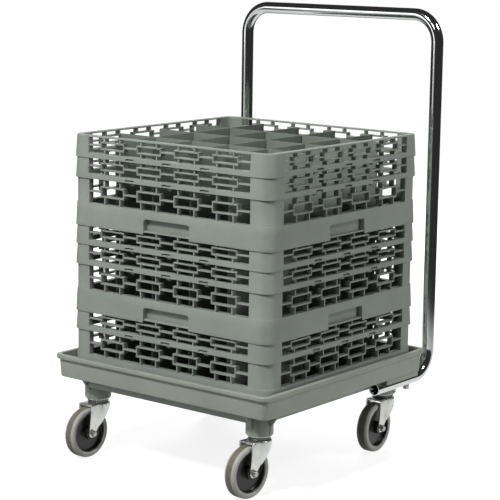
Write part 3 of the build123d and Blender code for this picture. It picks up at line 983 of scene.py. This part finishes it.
    def floor(self) -> None:
        """Build the open floor: a grid of bars with a frame round it."""
        z = self.low + (self.floor_top - self.floor_bar_below) * MM
        edge = self.floor_half * MM
        lines = []
        for k in range(self.floor_bays + 1):
            at = -edge + 2 * edge * k / self.floor_bays
            for ends in (((at, -edge), (at, edge)), ((-edge, at), (edge, at))):
                lines.append(tuple(self.centre + Vector((x, y, z)) for x, y in ends))
        width, depth, rounding = (size * MM for size in self.floor_section)
        MouldedBars(self.body + "_floor_grid", SHADED_SHEET_PLASTIC, Facing.UPRIGHT, width, depth,
                    rounding, lines=lines).build(self.body, [self.body + "_floor"])

    def build(self) -> None:
        """Build the whole rack."""
        self.base()
        for tier in range(1, self.extenders + 1):
            self.extender(tier)
        self.lattice()
        self.clips()
        self.dividers()
        self.floor()


# Dolly
@dataclass
class DeckTray:
    """Shallow moulded tray: rolled lip, floor, skirts, ribs and caster bosses.

    Sizes are millimetres. The saddles are the blocks that the handle's bolts go through.
    """

    # Floor, wall and lip
    floor_low: float = 163.3
    floor_top: float = 166.8
    half_low: float = 265.3
    half_high: float = 267.6
    foot_r: float = 3.0
    lip_half: float = 273.0
    lip_top: float = 210.5
    lip_h: float = 9.5
    lip_r: float = 2.6
    lip_draft: float = 0.4
    lip_root: float = 0.6
    brim_r: float = 1.6
    wall: float = 4.0
    corner_r: float = 12.0
    least_r: float = 4.0
    # Lower part of the side walls, beside the handle's legs
    drop_from: float = 138.0
    drop_low: float = 154.0
    drop_lean: float = 3.0
    drop_over: float = 2.0
    # Ribs under the floor
    ring_x: float = 234.0
    ring_y: float = 243.0
    ring_low: float = 145.5
    rib: float = 3.0
    rib_reach: float = 213.0
    cross_at: tuple[float, ...] = (-78.0, 0.0, 78.0)
    cross_low: float = 151.0
    # Bosses, gussets and saddles
    caster_at: float = 209.0
    boss_r: float = 26.8
    boss_low: float = 118.4
    boss_edge: float = 1.5
    boss_steps: int = 40
    gusset_in: float = 3.0
    gusset_proud: float = 1.2
    gusset_out: float = 47.0
    gusset_low: float = 137.0
    gusset_foot: float = 3.0
    gusset_t: float = 6.0
    saddle_x: float = 247.0
    saddle_half: float = 10.5
    saddle_y: Point = (223.0, 253.0)
    saddle_low: float = 153.5

    def profile(self) -> list[Triple]:
        """Find the outline of the tray's wall, from under the floor over the lip to its top.

        Returns:
            (half width, corner radius, height) of each ring.
        """
        r, foot, lip, brim = self.corner_r, self.foot_r, self.lip_r, self.brim_r
        quarter = arc(0, 90, 4)
        points = [(self.half_low - foot * (1 - math.sin(t)), r,
                   self.floor_low + foot * (1 - math.cos(t))) for t in quarter]
        lip_low = self.lip_top - self.lip_h
        under_lip = self.half_high - self.lip_draft
        points += [(under_lip, r, lip_low), (under_lip + self.lip_root, r, lip_low)]
        for centre_z, first in ((lip_low + lip, -90), (self.lip_top - lip, 0)):
            for t in arc(first, first + 90, 4):
                half = self.lip_half - lip + lip * math.cos(t)
                points.append((half, r + half - self.half_high, centre_z + lip * math.sin(t)))
        inner = self.half_high - self.wall
        points += [(inner + brim + brim * math.cos(t), r,
                    self.lip_top - brim + brim * math.sin(t)) for t in arc(90, 180, 4)]
        inner = self.half_low - self.wall
        points += [(inner - foot * (1 - math.cos(t)), r,
                    self.floor_top + foot * (1 - math.sin(t))) for t in quarter]
        return points

    def skirts(self, bm: bmesh.types.BMesh) -> None:
        """Add the lower part of the two side walls, beside the handle's legs.

        Args:
            bm: Bmesh that gets them.
        """
        over, low = (self.floor_low + self.drop_over) * MM, self.drop_low * MM
        start, end = self.drop_from * MM, (self.half_low - self.corner_r) * MM
        for sx in (-1, 1):
            outer, inner = sx * self.half_low * MM, sx * (self.half_low - self.wall) * MM
            outline = ((start, over), (start + self.drop_lean * MM, low), (end, low), (end, over))
            add_slab(bm, [Vector((outer, y, z)) for y, z in outline],
                     Vector((inner - outer, 0, 0)))

    def ribs(self, bm: bmesh.types.BMesh) -> None:
        """Add the ring of ribs and the ribs that cross it.

        Args:
            bm: Bmesh that gets them.
        """
        top, low, cross_low = self.floor_low * MM, self.ring_low * MM, self.cross_low * MM
        x, y, rib, reach = (size * MM for size in (self.ring_x, self.ring_y, self.rib,
                                                   self.rib_reach))
        for sign in (-1, 1):
            near, far = sorted((sign * x, sign * (x - rib)))
            add_block(bm, (near, -reach, low), (far, reach, top))
            near, far = sorted((sign * y, sign * (y - rib)))
            add_block(bm, (-reach, near, low), (reach, far, top))
        for at in (place * MM for place in self.cross_at):
            add_block(bm, (at - rib / 2, -y, cross_low), (at + rib / 2, y, top))
            add_block(bm, (-x, at - rib / 2, cross_low), (x, at + rib / 2, top))

    def boss(self, bm: bmesh.types.BMesh, sx: int, sy: int) -> None:
        """Add one caster boss with its four gussets.

        Args:
            bm: Bmesh that gets it.
            sx: Its side, -1 or 1.
            sy: Its end, -1 or 1.
        """
        spot = Matrix.Translation((sx * self.caster_at * MM, sy * self.caster_at * MM, 0))
        outline = ((self.boss_r, self.floor_low), (self.boss_r, self.boss_low + self.boss_edge),
                   (self.boss_r - self.boss_edge, self.boss_low))
        loft(bm, turned(outline, self.boss_steps, spot))
        half, root = self.gusset_t * MM / 2, self.boss_r - self.gusset_in
        foot, proud = self.boss_low + self.gusset_foot, self.boss_r + self.gusset_proud
        outline = ((root, foot), (proud, foot), (proud, self.gusset_low),
                   (self.gusset_out, self.floor_low), (root, self.floor_low))
        for turn in (0, 90, 180, 270):
            way = Matrix.Rotation(math.radians(turn), 4, "Z")
            add_slab(bm, [spot @ way @ Vector((x * MM, -half, z * MM)) for x, z in outline],
                     way @ Vector((0, 2 * half, 0)))

    def build(self) -> None:
        """Build the tray and what hangs under it."""
        low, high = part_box("deck_tray")
        centre = Vector(((low.x + high.x) / 2, (low.y + high.y) / 2, 0.0))
        bm = bmesh.new()
        loft(bm, [rounded_ring(half * MM, max(radius, self.least_r) * MM, z * MM, centre)
                  for half, radius, z in self.profile()])
        finish_piece("deck_tray_shell", bm, "dolly", [DECK_PLASTIC], ["deck_tray"])
        bm = bmesh.new()
        self.skirts(bm)
        self.ribs(bm)
        near, far = (y * MM for y in self.saddle_y)
        half = self.saddle_half * MM
        for sx in (-1, 1):
            for sy in (-1, 1):
                self.boss(bm, sx, sy)
            x = sx * self.saddle_x * MM
            add_block(bm, (x - half, near, self.saddle_low * MM),
                      (x + half, far, self.floor_low * MM))
        bmesh.ops.translate(bm, verts=bm.verts, vec=centre)
        finish_piece("deck_tray_underside", bm, "dolly", [DECK_PLASTIC], edge=0.0005)


@dataclass
class PushHandle:
    """Bent chrome tube with open ends. Sizes in millimetres."""

    tube_r: float = 12.5
    tube_wall: float = 1.5
    half_x: float = 247.0
    back_y: float = 316.7
    top_z: float = 895.2
    leg_z: float = 147.0
    leg_end: float = 119.0
    low_bend: float = 53.0
    top_bend: float = 56.0
    bend_steps: int = 14
    sides: int = 36

    def stations(self) -> list[tuple[Vector, Vector]]:
        """Find the tube's centre line.

        Returns:
            Points along it, each with the direction there.
        """
        corners = [Vector((x, y, z)) for x, y, z in (
            (-self.half_x, self.leg_end, self.leg_z), (-self.half_x, self.back_y, self.leg_z),
            (-self.half_x, self.back_y, self.top_z), (self.half_x, self.back_y, self.top_z),
            (self.half_x, self.back_y, self.leg_z), (self.half_x, self.leg_end, self.leg_z))]
        found = [(corners[0], (corners[1] - corners[0]).normalized())]
        bends = (self.low_bend, self.top_bend, self.top_bend, self.low_bend)
        for k, radius in enumerate(bends, start=1):
            before = (corners[k] - corners[k - 1]).normalized()
            after = (corners[k + 1] - corners[k]).normalized()
            centre = corners[k] + (after - before) * radius
            for t in arc(0, 90, self.bend_steps):
                found.append((centre - after * radius * math.cos(t) + before * radius * math.sin(t),
                              before * math.cos(t) + after * math.sin(t)))
        found.append((corners[5], (corners[5] - corners[4]).normalized()))
        return found

    def build(self) -> None:
        """Build the hollow tube."""
        low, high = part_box("deck_tray")
        shift = Vector((0, (low.y + high.y) / 2, 0))
        side, heading = Vector((1, 0, 0)), None
        turns = [2 * math.pi * k / self.sides for k in range(self.sides)]
        outer, inner = [], []
        for point, along in self.stations():
            if heading is not None:
                side = (heading.rotation_difference(along) @ side).normalized()
            heading = along
            other = along.cross(side)
            for rings, radius in ((outer, self.tube_r), (inner, self.tube_r - self.tube_wall)):
                rings.append([(point + side * radius * math.cos(t) + other * radius * math.sin(t))
                              * MM + shift for t in turns])
        bm = bmesh.new()
        loft(bm, outer + list(reversed(inner)), caps=False, closed=True)
        finish_piece("push_handle_tube", bm, "dolly", [CHROME], ["push_handle"], edge=0.0003,
                     crease=50.0)


@dataclass
class Caster:
    """One swivel caster, made about its swivel axis with the wheel towards +X.

    Sizes are millimetres.

    Attributes:
        corner: Which caster it is.
        trail: How far the axle lies behind the swivel axis.
        ring: Depth of the tyre, from the tread to the rim.
        bead: Points of the tyre's edge: out from the rim, in from the tyre's side.
        hub_root: Points between boss and web: out from the boss, proud of the web.
        hub_flange: Points between web and rim: in from the rim, proud of the web.
        hub_lip: Points at the rim: in from it, in from the tyre's side.
        inside: Half the room between the fork's legs.
        tail: How far back the fork's top reaches.
        bend: Radius of the roll along the fork's top.
        front_edge: Points of the legs' front edge: place along, height over the axle.
        ball_race: Outline of the turning race: radii, and heights over the fork.
        top_race: Outline of the fixed race: radii and heights.
        hex_cut: How much less the radius of the hexagon's cut corners is at its face.
        thread_past: How far the bolt reaches past its nut.
    """

    corner: str
    # Wheel
    trail: float = 34.0
    wheel_r: float = 50.8
    tyre_half: float = 12.7
    shoulder: float = 6.0
    ring: float = 10.8
    bead: tuple[Point, ...] = ((0.0, 1.6), (0.7, 0.9), (1.8, 0.5))
    web_half: float = 5.0
    hub_r: float = 12.0
    hub_half: float = 15.2
    hub_edge: float = 0.6
    hub_root: tuple[Point, ...] = ((0.8, 0.8), (1.8, 0.0))
    hub_flange: tuple[Point, ...] = ((4.5, 0.0), (3.4, 1.0))
    hub_lip: tuple[Point, ...] = ((2.8, 2.2), (2.2, 1.6), (0.0, 1.4))
    bore_r: float = 7.2
    tyre_steps: int = 72
    hub_steps: int = 64
    # Fork
    inside: float = 15.5
    sheet: float = 2.6
    nose_r: float = 24.0
    nose_steps: int = 28
    tail: float = 36.0
    top_z: float = 109.5
    leg_end_r: float = 8.7
    bend: float = 2.6
    front_edge: tuple[Point, ...] = ((20.5, 6.5), (12.5, 16.0), (2.0, 32.0), (-10.5, 47.5))
    # Races
    ball_race: tuple[Point, ...] = ((8.0, 0.0), (19.0, 0.0), (20.5, 0.8), (21.5, 2.4), (21.5, 4.2),
                                    (20.4, 5.6), (8.0, 5.6))
    top_race: tuple[Point, ...] = ((6.3, 115.4), (22.6, 115.4), (24.0, 116.4), (24.0, 118.0),
                                   (23.6, 118.4), (6.3, 118.4))
    race_steps: int = 48
    # Axle bolt and nut
    bolt_r: float = 5.0
    bolt_edge: float = 0.6
    hex_r: float = 6.6
    hex_cut: float = 0.9
    hex_edge: float = 0.8
    hex_steps: int = 48
    head_t: float = 3.2
    nut_t: float = 6.5
    thread_past: float = 1.5

    def __post_init__(self) -> None:
        """Find the caster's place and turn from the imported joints."""
        joints = {j["name"]: j for j in frame["joints"]}
        swivel = Vector(joints["swivel_" + self.corner]["pos_m"])
        axle = Vector(joints["roll_" + self.corner]["pos_m"])
        turn = math.atan2(axle.y - swivel.y, axle.x - swivel.x)
        self.place = (Matrix.Translation((swivel.x, swivel.y, 0))
                      @ Matrix.Rotation(turn, 4, "Z"))
        self.axle = (self.place @ Matrix.Translation((self.trail * MM, 0, self.wheel_r * MM))
                     @ Matrix.Rotation(math.radians(90), 4, "X"))
        self.wheel, self.unit = "wheel_" + self.corner, "fork_unit_" + self.corner

    def turned_piece(self, node: str, ending: str, profile: Sequence[Point], place: Matrix,
                     body: str, finishes: Sequence[Finish], steps: int,
                     index: Callable[[int], int] = lambda row: 0,
                     crease: float = SMOOTH_BELOW) -> None:
        """Build a piece turned about an axis, closed along its profile.

        Args:
            node: CAD node that it stands for, without the caster's corner.
            ending: What its name has after the node's.
            profile: (radius, height) points round its section, in millimetres.
            place: Where its axis goes.
            body: CAD body that it moves with.
            finishes: Finishes of its faces.
            steps: Sides round it.
            index: Finish of each row of faces.
            crease: Angle past which an edge stays sharp, in degrees.
        """
        bm = bmesh.new()
        loft(bm, turned(profile, steps, place), caps=False, closed=True, index=index)
        node = f"{node}_{self.corner}"
        finish_piece(f"{node}_{ending}", bm, body, finishes, [node], crease=crease)

    def tyre(self) -> None:
        """Build the tyre: a darker tread, partly dirt and partly painted shade, between rounded,
        paler side rings.
        """
        half, inner, shoulder = self.tyre_half, self.wheel_r - self.ring, self.shoulder
        start = self.wheel_r - shoulder
        one = [(inner + out, -half + rise) for out, rise in self.bead]
        one += [(start + shoulder * math.sin(t), -half + shoulder * (1 - math.cos(t)))
                for t in arc(0, 90, 6)]
        tread_row = len(one) - 1
        points = one + [(r, -z) for r, z in reversed(one)]
        self.turned_piece("tyre", "rubber", points, self.axle, self.wheel, [TREAD_DIRT_AND_SHADE, TYRE_SIDE],
                          self.tyre_steps, index=lambda row: int(row != tread_row), crease=60.0)

    def hub(self) -> None:
        """Build the wheel's dark centre: boss, set-back web, rim flange."""
        rim, web, boss = self.wheel_r - self.ring, self.web_half, self.hub_r
        half, edge = self.hub_half, self.hub_edge
        one = [(self.bore_r, -half), (boss - edge, -half), (boss, -half + edge)]
        one += [(boss + out, -web - proud) for out, proud in self.hub_root]
        one += [(rim - into, -web - proud) for into, proud in self.hub_flange]
        one += [(rim - into, -self.tyre_half + back) for into, back in self.hub_lip]
        points = one + [(r, -z) for r, z in reversed(one)]
        self.turned_piece("hub", "centre", points, self.axle, self.wheel, [HUB_PLASTIC],
                          self.hub_steps)

    def plan(self, inset: float, z: float, tail: float) -> list[Vector]:
        """Find the round-nosed outline of the fork seen from above, in millimetres.

        Args:
            inset: How far inside the fork's outer face it lies.
            z: Its height.
            tail: How far back it reaches.

        Returns:
            The outline's points, counter-clockwise from above.
        """
        radius, half = self.nose_r - inset, self.inside + self.sheet - inset
        start = math.asin(half / radius)
        turns = [start + (2 * math.pi - 2 * start) * step / self.nose_steps
                 for step in range(self.nose_steps + 1)]
        nose = [Vector((radius * math.cos(t), radius * math.sin(t), z)) for t in turns]
        return [Vector((tail, half, z)), *nose, Vector((tail, -half, z))]

    def fork(self) -> None:
        """Build the pressed fork: a round-nosed channel, rolled at its top, cut to two legs."""
        end_r, top, past, over = self.leg_end_r, self.top_z, 2.0, 1.0
        low, rear, under = self.wheel_r - end_r - past, self.trail + end_r, top - self.sheet
        rings = [self.plan(0.0, low, rear + past)]
        rings += [self.plan(self.bend * (1 - math.cos(t)), top - self.bend * (1 - math.sin(t)),
                            rear + past) for t in arc(0, 90, 5)]
        outer = stacked(rings, "fork_outside")
        inlet, seam = rear + 3 * past, 1.0
        rings = [self.plan(self.sheet, z, inlet) for z in (low - 2 * past, under - seam)]
        hollow = stacked(rings + [self.plan(self.sheet + seam, under, inlet)], "fork_hollow")
        side = [(self.tail, top + over), (rear, self.wheel_r)]
        side += [(self.trail + end_r * math.cos(t), self.wheel_r + end_r * math.sin(t))
                 for t in arc(0, -180, 12)[1:]]
        side += [(x, self.wheel_r + rise) for x, rise in self.front_edge]
        side += [(-self.nose_r - over, under), (-self.nose_r - over, top + over)]
        wide = self.nose_r + past
        bm = bmesh.new()
        add_slab(bm, [Vector((x, wide, z)) * MM for x, z in side], Vector((0, -2 * wide * MM, 0)))
        pressing = trimmed(outer, as_mesh(bm, "fork_side"), "INTERSECT")
        pressing = trimmed(pressing, hollow, "DIFFERENCE")
        pressing.transform(self.place)
        node = "fork_" + self.corner
        name = node + "_pressing"
        pressing.name = name
        finish_piece(name, pressing, self.unit, [FORK_ZINC], [node], edge=0.00035)

    def race(self) -> None:
        """Build the ball race that turns with the fork."""
        profile = [(r, self.top_z + up) for r, up in self.ball_race]
        self.turned_piece("ball_race", "ring", profile, self.place, self.unit, [RACE_STEEL],
                          self.race_steps)

    def axle_ring(self, radius: float, z: float) -> list[Vector]:
        """Find a circle about the axle, with its radius and height in millimetres."""
        return turned([(radius, z)], self.hex_steps, self.axle)[0]

    def hex_ring(self, limit: float, z: float) -> list[Vector]:
        """Find a hexagon about the axle whose corners are cut to a circle.

        Args:
            limit: Radius of the circle, in millimetres.
            z: Height of the ring along the axle, in millimetres.

        Returns:
            The points in place.
        """
        points = []
        for k in range(self.hex_steps):
            turn = 2 * math.pi * k / self.hex_steps
            flat = self.hex_r * math.cos(math.pi / 6) / math.cos(turn % (math.pi / 3) - math.pi / 6)
            reach = min(flat, limit)
            points.append(self.axle @ (Vector((reach * math.cos(turn), reach * math.sin(turn), z))
                                       * MM))
        return points

    def axle_ends(self) -> None:
        """Build the axle bolt with its low hexagon head, and the nut on the fork's other side."""
        face, cut = self.inside + self.sheet, self.hex_r - self.hex_cut
        head, nut = face + self.head_t, -face - self.nut_t
        end = nut - self.thread_past
        ring, hexagon = self.axle_ring, self.hex_ring
        bolt = [ring(self.bolt_r - self.bolt_edge, end), ring(self.bolt_r, end + self.bolt_edge),
                ring(self.bolt_r, face), hexagon(self.hex_r, face),
                hexagon(self.hex_r, head - self.hex_edge), hexagon(cut, head)]
        collar = [hexagon(cut, nut), hexagon(self.hex_r, nut + self.hex_edge),
                  hexagon(self.hex_r, -face), ring(self.bolt_r, -face), ring(self.bolt_r, nut)]
        for node, rings, solid in (("axle_bolt", bolt, True), ("axle_nut", collar, False)):
            bm = bmesh.new()
            loft(bm, rings, caps=solid, closed=not solid)
            node = f"{node}_{self.corner}"
            finish_piece(node + "_hex", bm, self.unit, [SMALL_ZINC], [node])

    def build(self) -> None:
        """Build the caster's pieces."""
        self.tyre()
        self.hub()
        self.fork()
        self.race()
        self.axle_ends()


def top_races(casters: Iterable[Caster]) -> None:
    """Build the fixed races under the deck's bosses as one piece.

    Args:
        casters: The casters that they carry.
    """
    bm = bmesh.new()
    for caster in casters:
        loft(bm, turned(caster.top_race, caster.race_steps, caster.place), caps=False,
             closed=True)
    finish_piece("caster_top_race_rings", bm, "dolly", [SMALL_ZINC], ["caster_top_races"])


def dress_fasteners() -> None:
    """Give the fasteners that stay as packed their finish."""
    for name, node in frame["nodes"].items():
        if name.startswith(("axle_sleeve", "handle_bolts", "caster_kingpins")):
            node.data.materials.clear()
            node.data.materials.append(SMALL_ZINC.material())
            log.info("%s: finish only", name)


# Studio
@dataclass(frozen=True)
class Lamp:
    """A soft square lamp.

    Attributes:
        name: Name of the lamp.
        place: Where it stands, in metres.
        target: What it points at, in metres.
        size: Width of its face, in metres.
        watts: Its power.
        mirrored: Whether it shows in shiny surfaces.
    """

    name: str
    place: Triple
    target: Triple
    size: float
    watts: float
    mirrored: bool = True

    def build(self) -> None:
        """Put the lamp into the scene."""
        data = bpy.data.lights.new(self.name, "AREA")
        data.size = self.size
        data.energy = self.watts
        lamp = add_object(self.name, data)
        lamp.visible_glossy = self.mirrored
        way = Vector(self.target) - Vector(self.place)
        lamp.matrix_world = (Matrix.Translation(self.place)
                             @ way.to_track_quat("-Z", "Y").to_matrix().to_4x4())


LAMPS = (Lamp("key_lamp", (0.1, -2.8, 3.4), (0, 0, 0.4), 0.6, 134.0),
         Lamp("left_lamp", (-1.8, -2.6, 1.2), (0, 0, 0.4), 1.2, 8.0),
         Lamp("front_lamp", (1.1, -2.9, 2.6), (0, 0, 0.4), 0.8, 8.0),
         Lamp("side_lamp", (2.4, 1.2, 0.6), (0, 0, 0.3), 0.8, 18.0, mirrored=False),
         Lamp("right_lamp", (2.6, 0.9, 3.0), (0, 0, 0.4), 0.8, 30.0),
         Lamp("rear_lamp", (-2.0, 2.6, 2.2), (0, 0, 0.3), 1.4, 90.0, mirrored=False))


@dataclass
class Studio:
    """Plain floor, dim surround, soft lamps and the camera.

    Attributes:
        eye: Where the camera stands, in metres.
        yaw: How far it is turned to the left of +Y, in degrees.
        pitch: How far it looks down, in degrees.
        roll: How far it is tilted, in radians.
        lens: Its focal length, in millimetres.
        sensor: Width of its sensor, in millimetres.
        sight: How far it sees, in metres.
        ambient: Light of the surround on the object.
        room_level: Brightness of the dark room in metal.
        backdrop_way: Direction of the pale backdrop that metal shows.
        backdrop_edge: Cosines off that direction where it starts and is full.
        floor_half: Half width of the floor, in metres.
        floor_grey: Colour of the floor under the object's shadow.
        floor_glow: The floor's own brightness near the object.
        pool_r: Radius of the bright pool on the floor, in metres; in metal the pool is a painted
            reflection.
        band_from: Point that the light band on the floor starts at.
        band_way: Direction of that band, a painted reflection which metal alone shows.
        band_edge: Cosines off that direction where it starts and is full.
        band_level: Brightness of that band.
    """

    eye: Triple = (2.2079, -2.8122, 1.0555)
    yaw: float = 38.11
    pitch: float = 10.11
    roll: float = 0.01416
    lens: float = 128.1
    sensor: float = 36.0
    sight: float = 60.0
    ambient: float = 0.02
    room_level: float = 0.03
    backdrop_way: Triple = (-0.62, 0.785, -0.1)
    backdrop_edge: Point = (0.8, 0.95)
    floor_half: float = 30.0
    floor_grey: float = 0.3
    floor_glow: float = 0.85
    pool_r: float = 0.9
    band_from: Triple = (0.0, 0.32, 0.0)
    band_way: Triple = (-0.437, -0.9, 0.0)
    band_edge: Point = (0.965, 0.985)
    band_level: float = 0.7

    def camera(self) -> None:
        """Place the camera where the photograph was taken from."""
        yaw, pitch = math.radians(self.yaw), math.radians(self.pitch)
        ahead = Vector((-math.sin(yaw) * math.cos(pitch), math.cos(yaw) * math.cos(pitch),
                        -math.sin(pitch)))
        right = Vector((math.cos(yaw), math.sin(yaw), 0))
        up = right.cross(ahead)
        side = math.cos(self.roll) * right + math.sin(self.roll) * up
        top = -math.sin(self.roll) * right + math.cos(self.roll) * up
        turn = Matrix((side, top, -ahead)).transposed().to_4x4()
        data = bpy.data.cameras.new("camera")
        data.lens = self.lens
        data.sensor_width = self.sensor
        data.clip_end = self.sight
        eye = add_object("camera", data)
        eye.matrix_world = Matrix.Translation(self.eye) @ turn
        bpy.context.scene.camera = eye

    def floor_finish(self) -> bpy.types.Material:
        """Make the floor's material.

        The floor keeps the object's shadow, is white to the camera, and in metal shows a painted
        reflection: a white pool in a dark room, with a light band.

        Returns:
            The material.
        """
        made = bpy.data.materials.new("studio_floor")
        made.use_nodes = True
        made.node_tree.nodes.clear()
        w = Wiring(made.node_tree)
        rays = w.add("ShaderNodeLightPath").outputs
        where = w.add("ShaderNodeTexCoord").outputs["Object"]
        away = w.vectors("LENGTH", where).outputs["Value"]
        # Painted reflection: only metal sees the floor as a white pool fading to a dark room, with
        # a glowing band.
        pool = w.remap(away, (self.pool_r, 2 * self.pool_r), (self.floor_glow, self.room_level))
        way = w.vectors("NORMALIZE", w.vectors("SUBTRACT", where, self.band_from))
        near = w.vectors("DOT_PRODUCT", way, self.band_way).outputs["Value"]
        band = w.remap(near, self.band_edge, (0.0, self.band_level))
        mirrored = w.add("ShaderNodeEmission", Color=WHITE,
                         Strength=w.maths("MAXIMUM", pool, band))
        grey = (self.floor_grey, self.floor_grey, self.floor_grey, 1.0)
        plain = w.add("ShaderNodeBsdfDiffuse", Color=grey)
        glow = w.remap(away, (self.pool_r, 3 * self.pool_r), (self.floor_glow, 1.0))
        white = w.add("ShaderNodeEmission", Color=WHITE, Strength=glow)
        bright = w.add("ShaderNodeAddShader", in_0=plain, in_1=white)
        metal = w.maths("MAXIMUM", rays["Is Glossy Ray"], rays["Is Transmission Ray"])
        mixed = w.add("ShaderNodeMixShader", Fac=rays["Is Camera Ray"], in_1=plain, in_2=bright)
        mixed = w.add("ShaderNodeMixShader", Fac=metal, in_1=mixed, in_2=mirrored)
        w.add("ShaderNodeOutputMaterial", Surface=mixed)
        return made

    def floor(self) -> None:
        """Lay the floor."""
        bm = bmesh.new()
        bm.faces.new([bm.verts.new((x * self.floor_half, y * self.floor_half, 0))
                      for x, y in ((-1, -1), (1, -1), (1, 1), (-1, 1))])
        mesh = as_mesh(bm, "studio_floor", recalculate=False)
        mesh.materials.append(self.floor_finish())
        add_object("studio_floor", mesh)

    def world(self) -> None:
        """Give a dim surround: white to the camera, and in metal a dark room with a backdrop."""
        world = bpy.data.worlds.new("studio")
        bpy.context.scene.world = world
        world.use_nodes = True
        world.node_tree.nodes.clear()
        w = Wiring(world.node_tree)
        rays = w.add("ShaderNodeLightPath").outputs
        way = w.add("ShaderNodeTexCoord").outputs["Generated"]
        near = w.vectors("DOT_PRODUCT", way, self.backdrop_way).outputs["Value"]
        lit = w.remap(near, self.backdrop_edge, (self.room_level, 1.0))
        soft, mirrored, white = (w.add("ShaderNodeBackground", Color=WHITE, Strength=strength)
                                 for strength in (self.ambient, lit, 1.0))
        plain = w.add("ShaderNodeMixShader", Fac=rays["Is Glossy Ray"], in_1=soft, in_2=mirrored)
        clear = w.maths("MAXIMUM", rays["Is Camera Ray"], rays["Is Transmission Ray"])
        mixed = w.add("ShaderNodeMixShader", Fac=clear, in_1=plain, in_2=white)
        w.add("ShaderNodeOutputWorld", Surface=mixed)

    def build(self) -> None:
        """Build the whole studio."""
        bpy.context.scene.view_settings.view_transform = "Standard"
        self.camera()
        self.floor()
        self.world()
        for lamp in LAMPS:
            lamp.build()


def main() -> None:
    """Build the studio, then the dolly and its racks from the floor up."""
    logging.basicConfig(level=logging.INFO, format="%(message)s")
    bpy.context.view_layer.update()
    Studio().build()
    casters = [Caster(corner) for corner in CORNERS]
    for caster in casters:
        caster.build()
    top_races(casters)
    dress_fasteners()
    DeckTray().build()
    PushHandle().build()
    for body, extenders in (("rack_lower", 1), ("rack_middle", 2), ("rack_upper", 2)):
        Rack(body, extenders).build()


if __name__ == "__main__":
    main()
